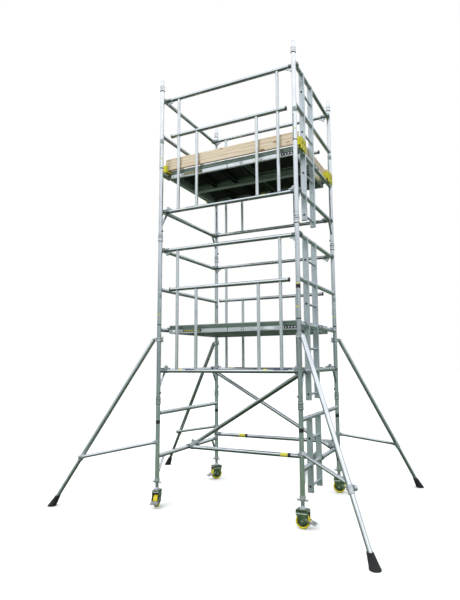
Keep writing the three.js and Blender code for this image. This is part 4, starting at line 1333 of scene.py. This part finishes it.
def stabiliser_arm(corner, place, eye):
    """The strut from the collar's pin to the saddle that holds the tower's leg."""
    node = f"{corner}_stabiliser_arm"
    z = ARM_HEIGHT
    shell = Shell(place)
    start = Vector((34, 0, z))
    along = (start - eye).normalized()
    pipe(shell, eye + along * 22, start, ARM_RADIUS, "frame_metal", 2.2, 48, 0.5)
    hub = between(eye - Vector((0, 15, 0)), eye)
    ring(shell, hub, 12, 25, 30, "bright_cast", 2.5, 40)
    ring(shell, between(eye + along * 22, start), 18.6, 19.6, 12, "bright_cast", 0.4)
    ring(shell, between(start - along * 34, start), 18.6, 22.5, 34, "bright_cast", 2)
    extrude(shell, upright(0, 0, z - 25, pi), claw_outline(88, 27, 38), 50, "bright_cast", 2.5)
    block(shell, (26, -15, z - 18), (46, 15, z + 18), "bright_cast", 4)
    for side in (-1, 1):
        block(shell, (-2, side * 40 - 8, z - 12), (14, side * 40 + 8, z + 12), "bright_cast", 3)
        bolt(shell, between((6, side * 46, z), (6, side * 60, z)), 8, 8)
    make(f"{node}_fine", shell, node, [node])


def stabiliser(corner):
    """Its line, its collar and its eye all come from the joints."""
    axis = from_row(LEG_AXES[corner])
    slope = Vector(JOINTS[f"{corner}_foot_extension"]["axis"])
    heading = atan2(slope.y, slope.x)
    place = upright(axis.x, axis.y, 0, heading)
    down = Matrix.Rotation(-heading, 3, "Z") @ slope
    down.y = 0
    down.normalize()
    head = from_row(JOINTS[f"{corner}_stabiliser_swing"]["pos_m"]).z
    top = Vector((62, 0, head))
    foot = top + down * ((GROUND - head) / down.z)
    eye = place.inverted() @ from_row(JOINTS[f"{corner}_arm_fold"]["pos_m"])
    collar = Vector((eye.x, 0, eye.z))
    stabiliser_tube(corner, place, top, down, collar)
    stabiliser_foot(corner, place, down, collar, foot)
    stabiliser_arm(corner, place, eye)


# ---- The studio ----------------------------------------------------------------------------
def floor_material():
    """A pale floor to look at. It lets the world's own lower half light and mirror in the metal."""
    look = Look("floor", roughness=0.95, specular=0.0)
    tone = look.noise(look.node("TexCoord").outputs["Object"], 3, scale=0.6)
    look.colour(look.ramp(tone, (0.3, (0.97, 0.95, 0.90)), (0.7, (0.99, 0.97, 0.92))))
    clear = look.node("BsdfTransparent")
    seen = look.node("LightPath").outputs["Is Camera Ray"]
    chosen = look.node("MixShader", {0: seen, 1: clear.outputs[0], 2: look.shader.outputs[0]})
    look.surface(chosen, "Material Output")
    return look.material


SKY = (  # from straight down to straight up
    (0.0, (0.02, 0.033, 0.014)), (0.285, (0.035, 0.058, 0.024)), (0.345, (0.12, 0.19, 0.085)),
    (0.415, (0.20, 0.29, 0.21)), (0.47, (0.19, 0.26, 0.24)), (0.515, (0.15, 0.205, 0.205)),
    (0.555, (0.38, 0.44, 0.46)), (0.61, (0.62, 0.68, 0.72)), (0.69, (0.90, 0.95, 1.01)),
    (0.77, (1.32, 1.34, 1.37)), (0.88, (0.97, 1.02, 1.11)), (1.0, (0.72, 0.79, 0.93)),
)


def surroundings():
    """White behind the tower. The metal mirrors a bright sky over a dim horizon and dark ground."""
    world = bpy.data.worlds.new("studio")
    world.use_nodes = True
    sky = Nodes(world.node_tree)
    direction = sky.node("TexCoord").outputs["Generated"]
    parts = sky.node("SeparateXYZ", {0: direction})
    clouds = sky.noise(direction, 3, roughness=0.5, scale=2.6)
    sway = sky.math("MULTIPLY", sky.math("SUBTRACT", clouds, 0.5), 0.16)
    level = sky.math("ADD", sky.math("MULTIPLY", parts.outputs["Z"], 0.5), 0.5)
    tones = sky.ramp(sky.math("ADD", level, sway), *SKY)
    front = sky.math("MULTIPLY", parts.outputs["Y"], -0.13)
    right = sky.math("MULTIPLY", parts.outputs["X"], 0.10)
    facing = sky.math("ADD", sky.math("ADD", front, right), 0.87)
    path = sky.node("LightPath")
    diffuse = sky.math("ADD", sky.math("MULTIPLY", path.outputs["Is Diffuse Ray"], 0.6), 1.0)
    strength = sky.math("MULTIPLY", facing, diffuse)
    seen = sky.node("Background", {"Color": (1, 1, 1, 1), "Strength": 1.0})
    mirrored = sky.node("Background", {"Color": tones, "Strength": strength})
    camera_ray = path.outputs["Is Camera Ray"]
    mixed = sky.node("MixShader", {0: camera_ray, 1: mirrored.outputs[0], 2: seen.outputs[0]})
    sky.surface(mixed, "World Output")
    bpy.context.scene.world = world


def studio():
    """The floor, one large soft lamp in front and the surroundings."""
    half = 60
    mesh = bpy.data.meshes.new("floor")
    corners = [(-half, -half, 0), (half, -half, 0), (half, half, 0), (-half, half, 0)]
    mesh.from_pydata(corners, [], [(0, 1, 2, 3)])
    mesh.materials.append(floor_material())
    floor = bpy.data.objects.new("floor", mesh)
    floor.location = (0, 0, -0.002)
    bpy.context.scene.collection.objects.link(floor)
    surroundings()
    lamp = bpy.data.lights.new("key", "AREA")
    lamp.shape = "DISK"
    lamp.size = 7
    lamp.energy = 620
    lit = bpy.data.objects.new("key", lamp)
    lit.location = (-4.5, -9.5, 9.5)
    lit.rotation_euler = (Vector((0, 0, 2.4)) - lit.location).to_track_quat("-Z", "Y").to_euler()
    lit.visible_glossy = False
    bpy.context.scene.collection.objects.link(lit)
    view = bpy.context.scene.view_settings
    view.view_transform = "Standard"
    view.look = "None"
    view.exposure = 0
    view.gamma = 1


def camera():
    """At eye level, looking slightly up at the tower's front right corner."""
    azimuth, elevation, roll = radians(25.562), radians(7.003), radians(-0.422)
    place = Vector((2.5605, -5.5494, 1.3722))
    forward = Vector((-sin(azimuth) * cos(elevation), cos(azimuth) * cos(elevation), sin(elevation)))
    level = Vector((cos(azimuth), sin(azimuth), 0))
    above = level.cross(forward)
    right = level * cos(roll) + above * sin(roll)
    up = above * cos(roll) - level * sin(roll)
    lens = bpy.data.cameras.new("camera")
    lens.sensor_width = 36
    lens.lens = 28.634
    lens.shift_x = -0.0232
    lens.shift_y = 0.0026
    lens.clip_end = 200
    seen = bpy.data.objects.new("camera", lens)
    seen.matrix_world = frame_of(ORIGIN + place, right, up, -forward)
    bpy.context.scene.collection.objects.link(seen)
    bpy.context.scene.camera = seen


make_materials()
camera()
studio()
for lift in ("base", "middle", "top"):
    for side in (-1, 1):
        end_frame(lift, side)
for level in ("lower", "upper"):
    hatch_lid(level)
    for place in ("front", "back"):
        deck(level, place)
        guardrail(level, place)
for name in ("front", "back", "left", "right"):
    toe_board(name)
for name, mouth in (("front_horizontal", "down"), ("front_diagonal", "out"), ("back_diagonal", "out")):
    tube_brace(name, mouth)
leg_brace()
for corner in CORNERS:
    toe_clip(corner)
    castor_set(corner)
    stabiliser(corner)
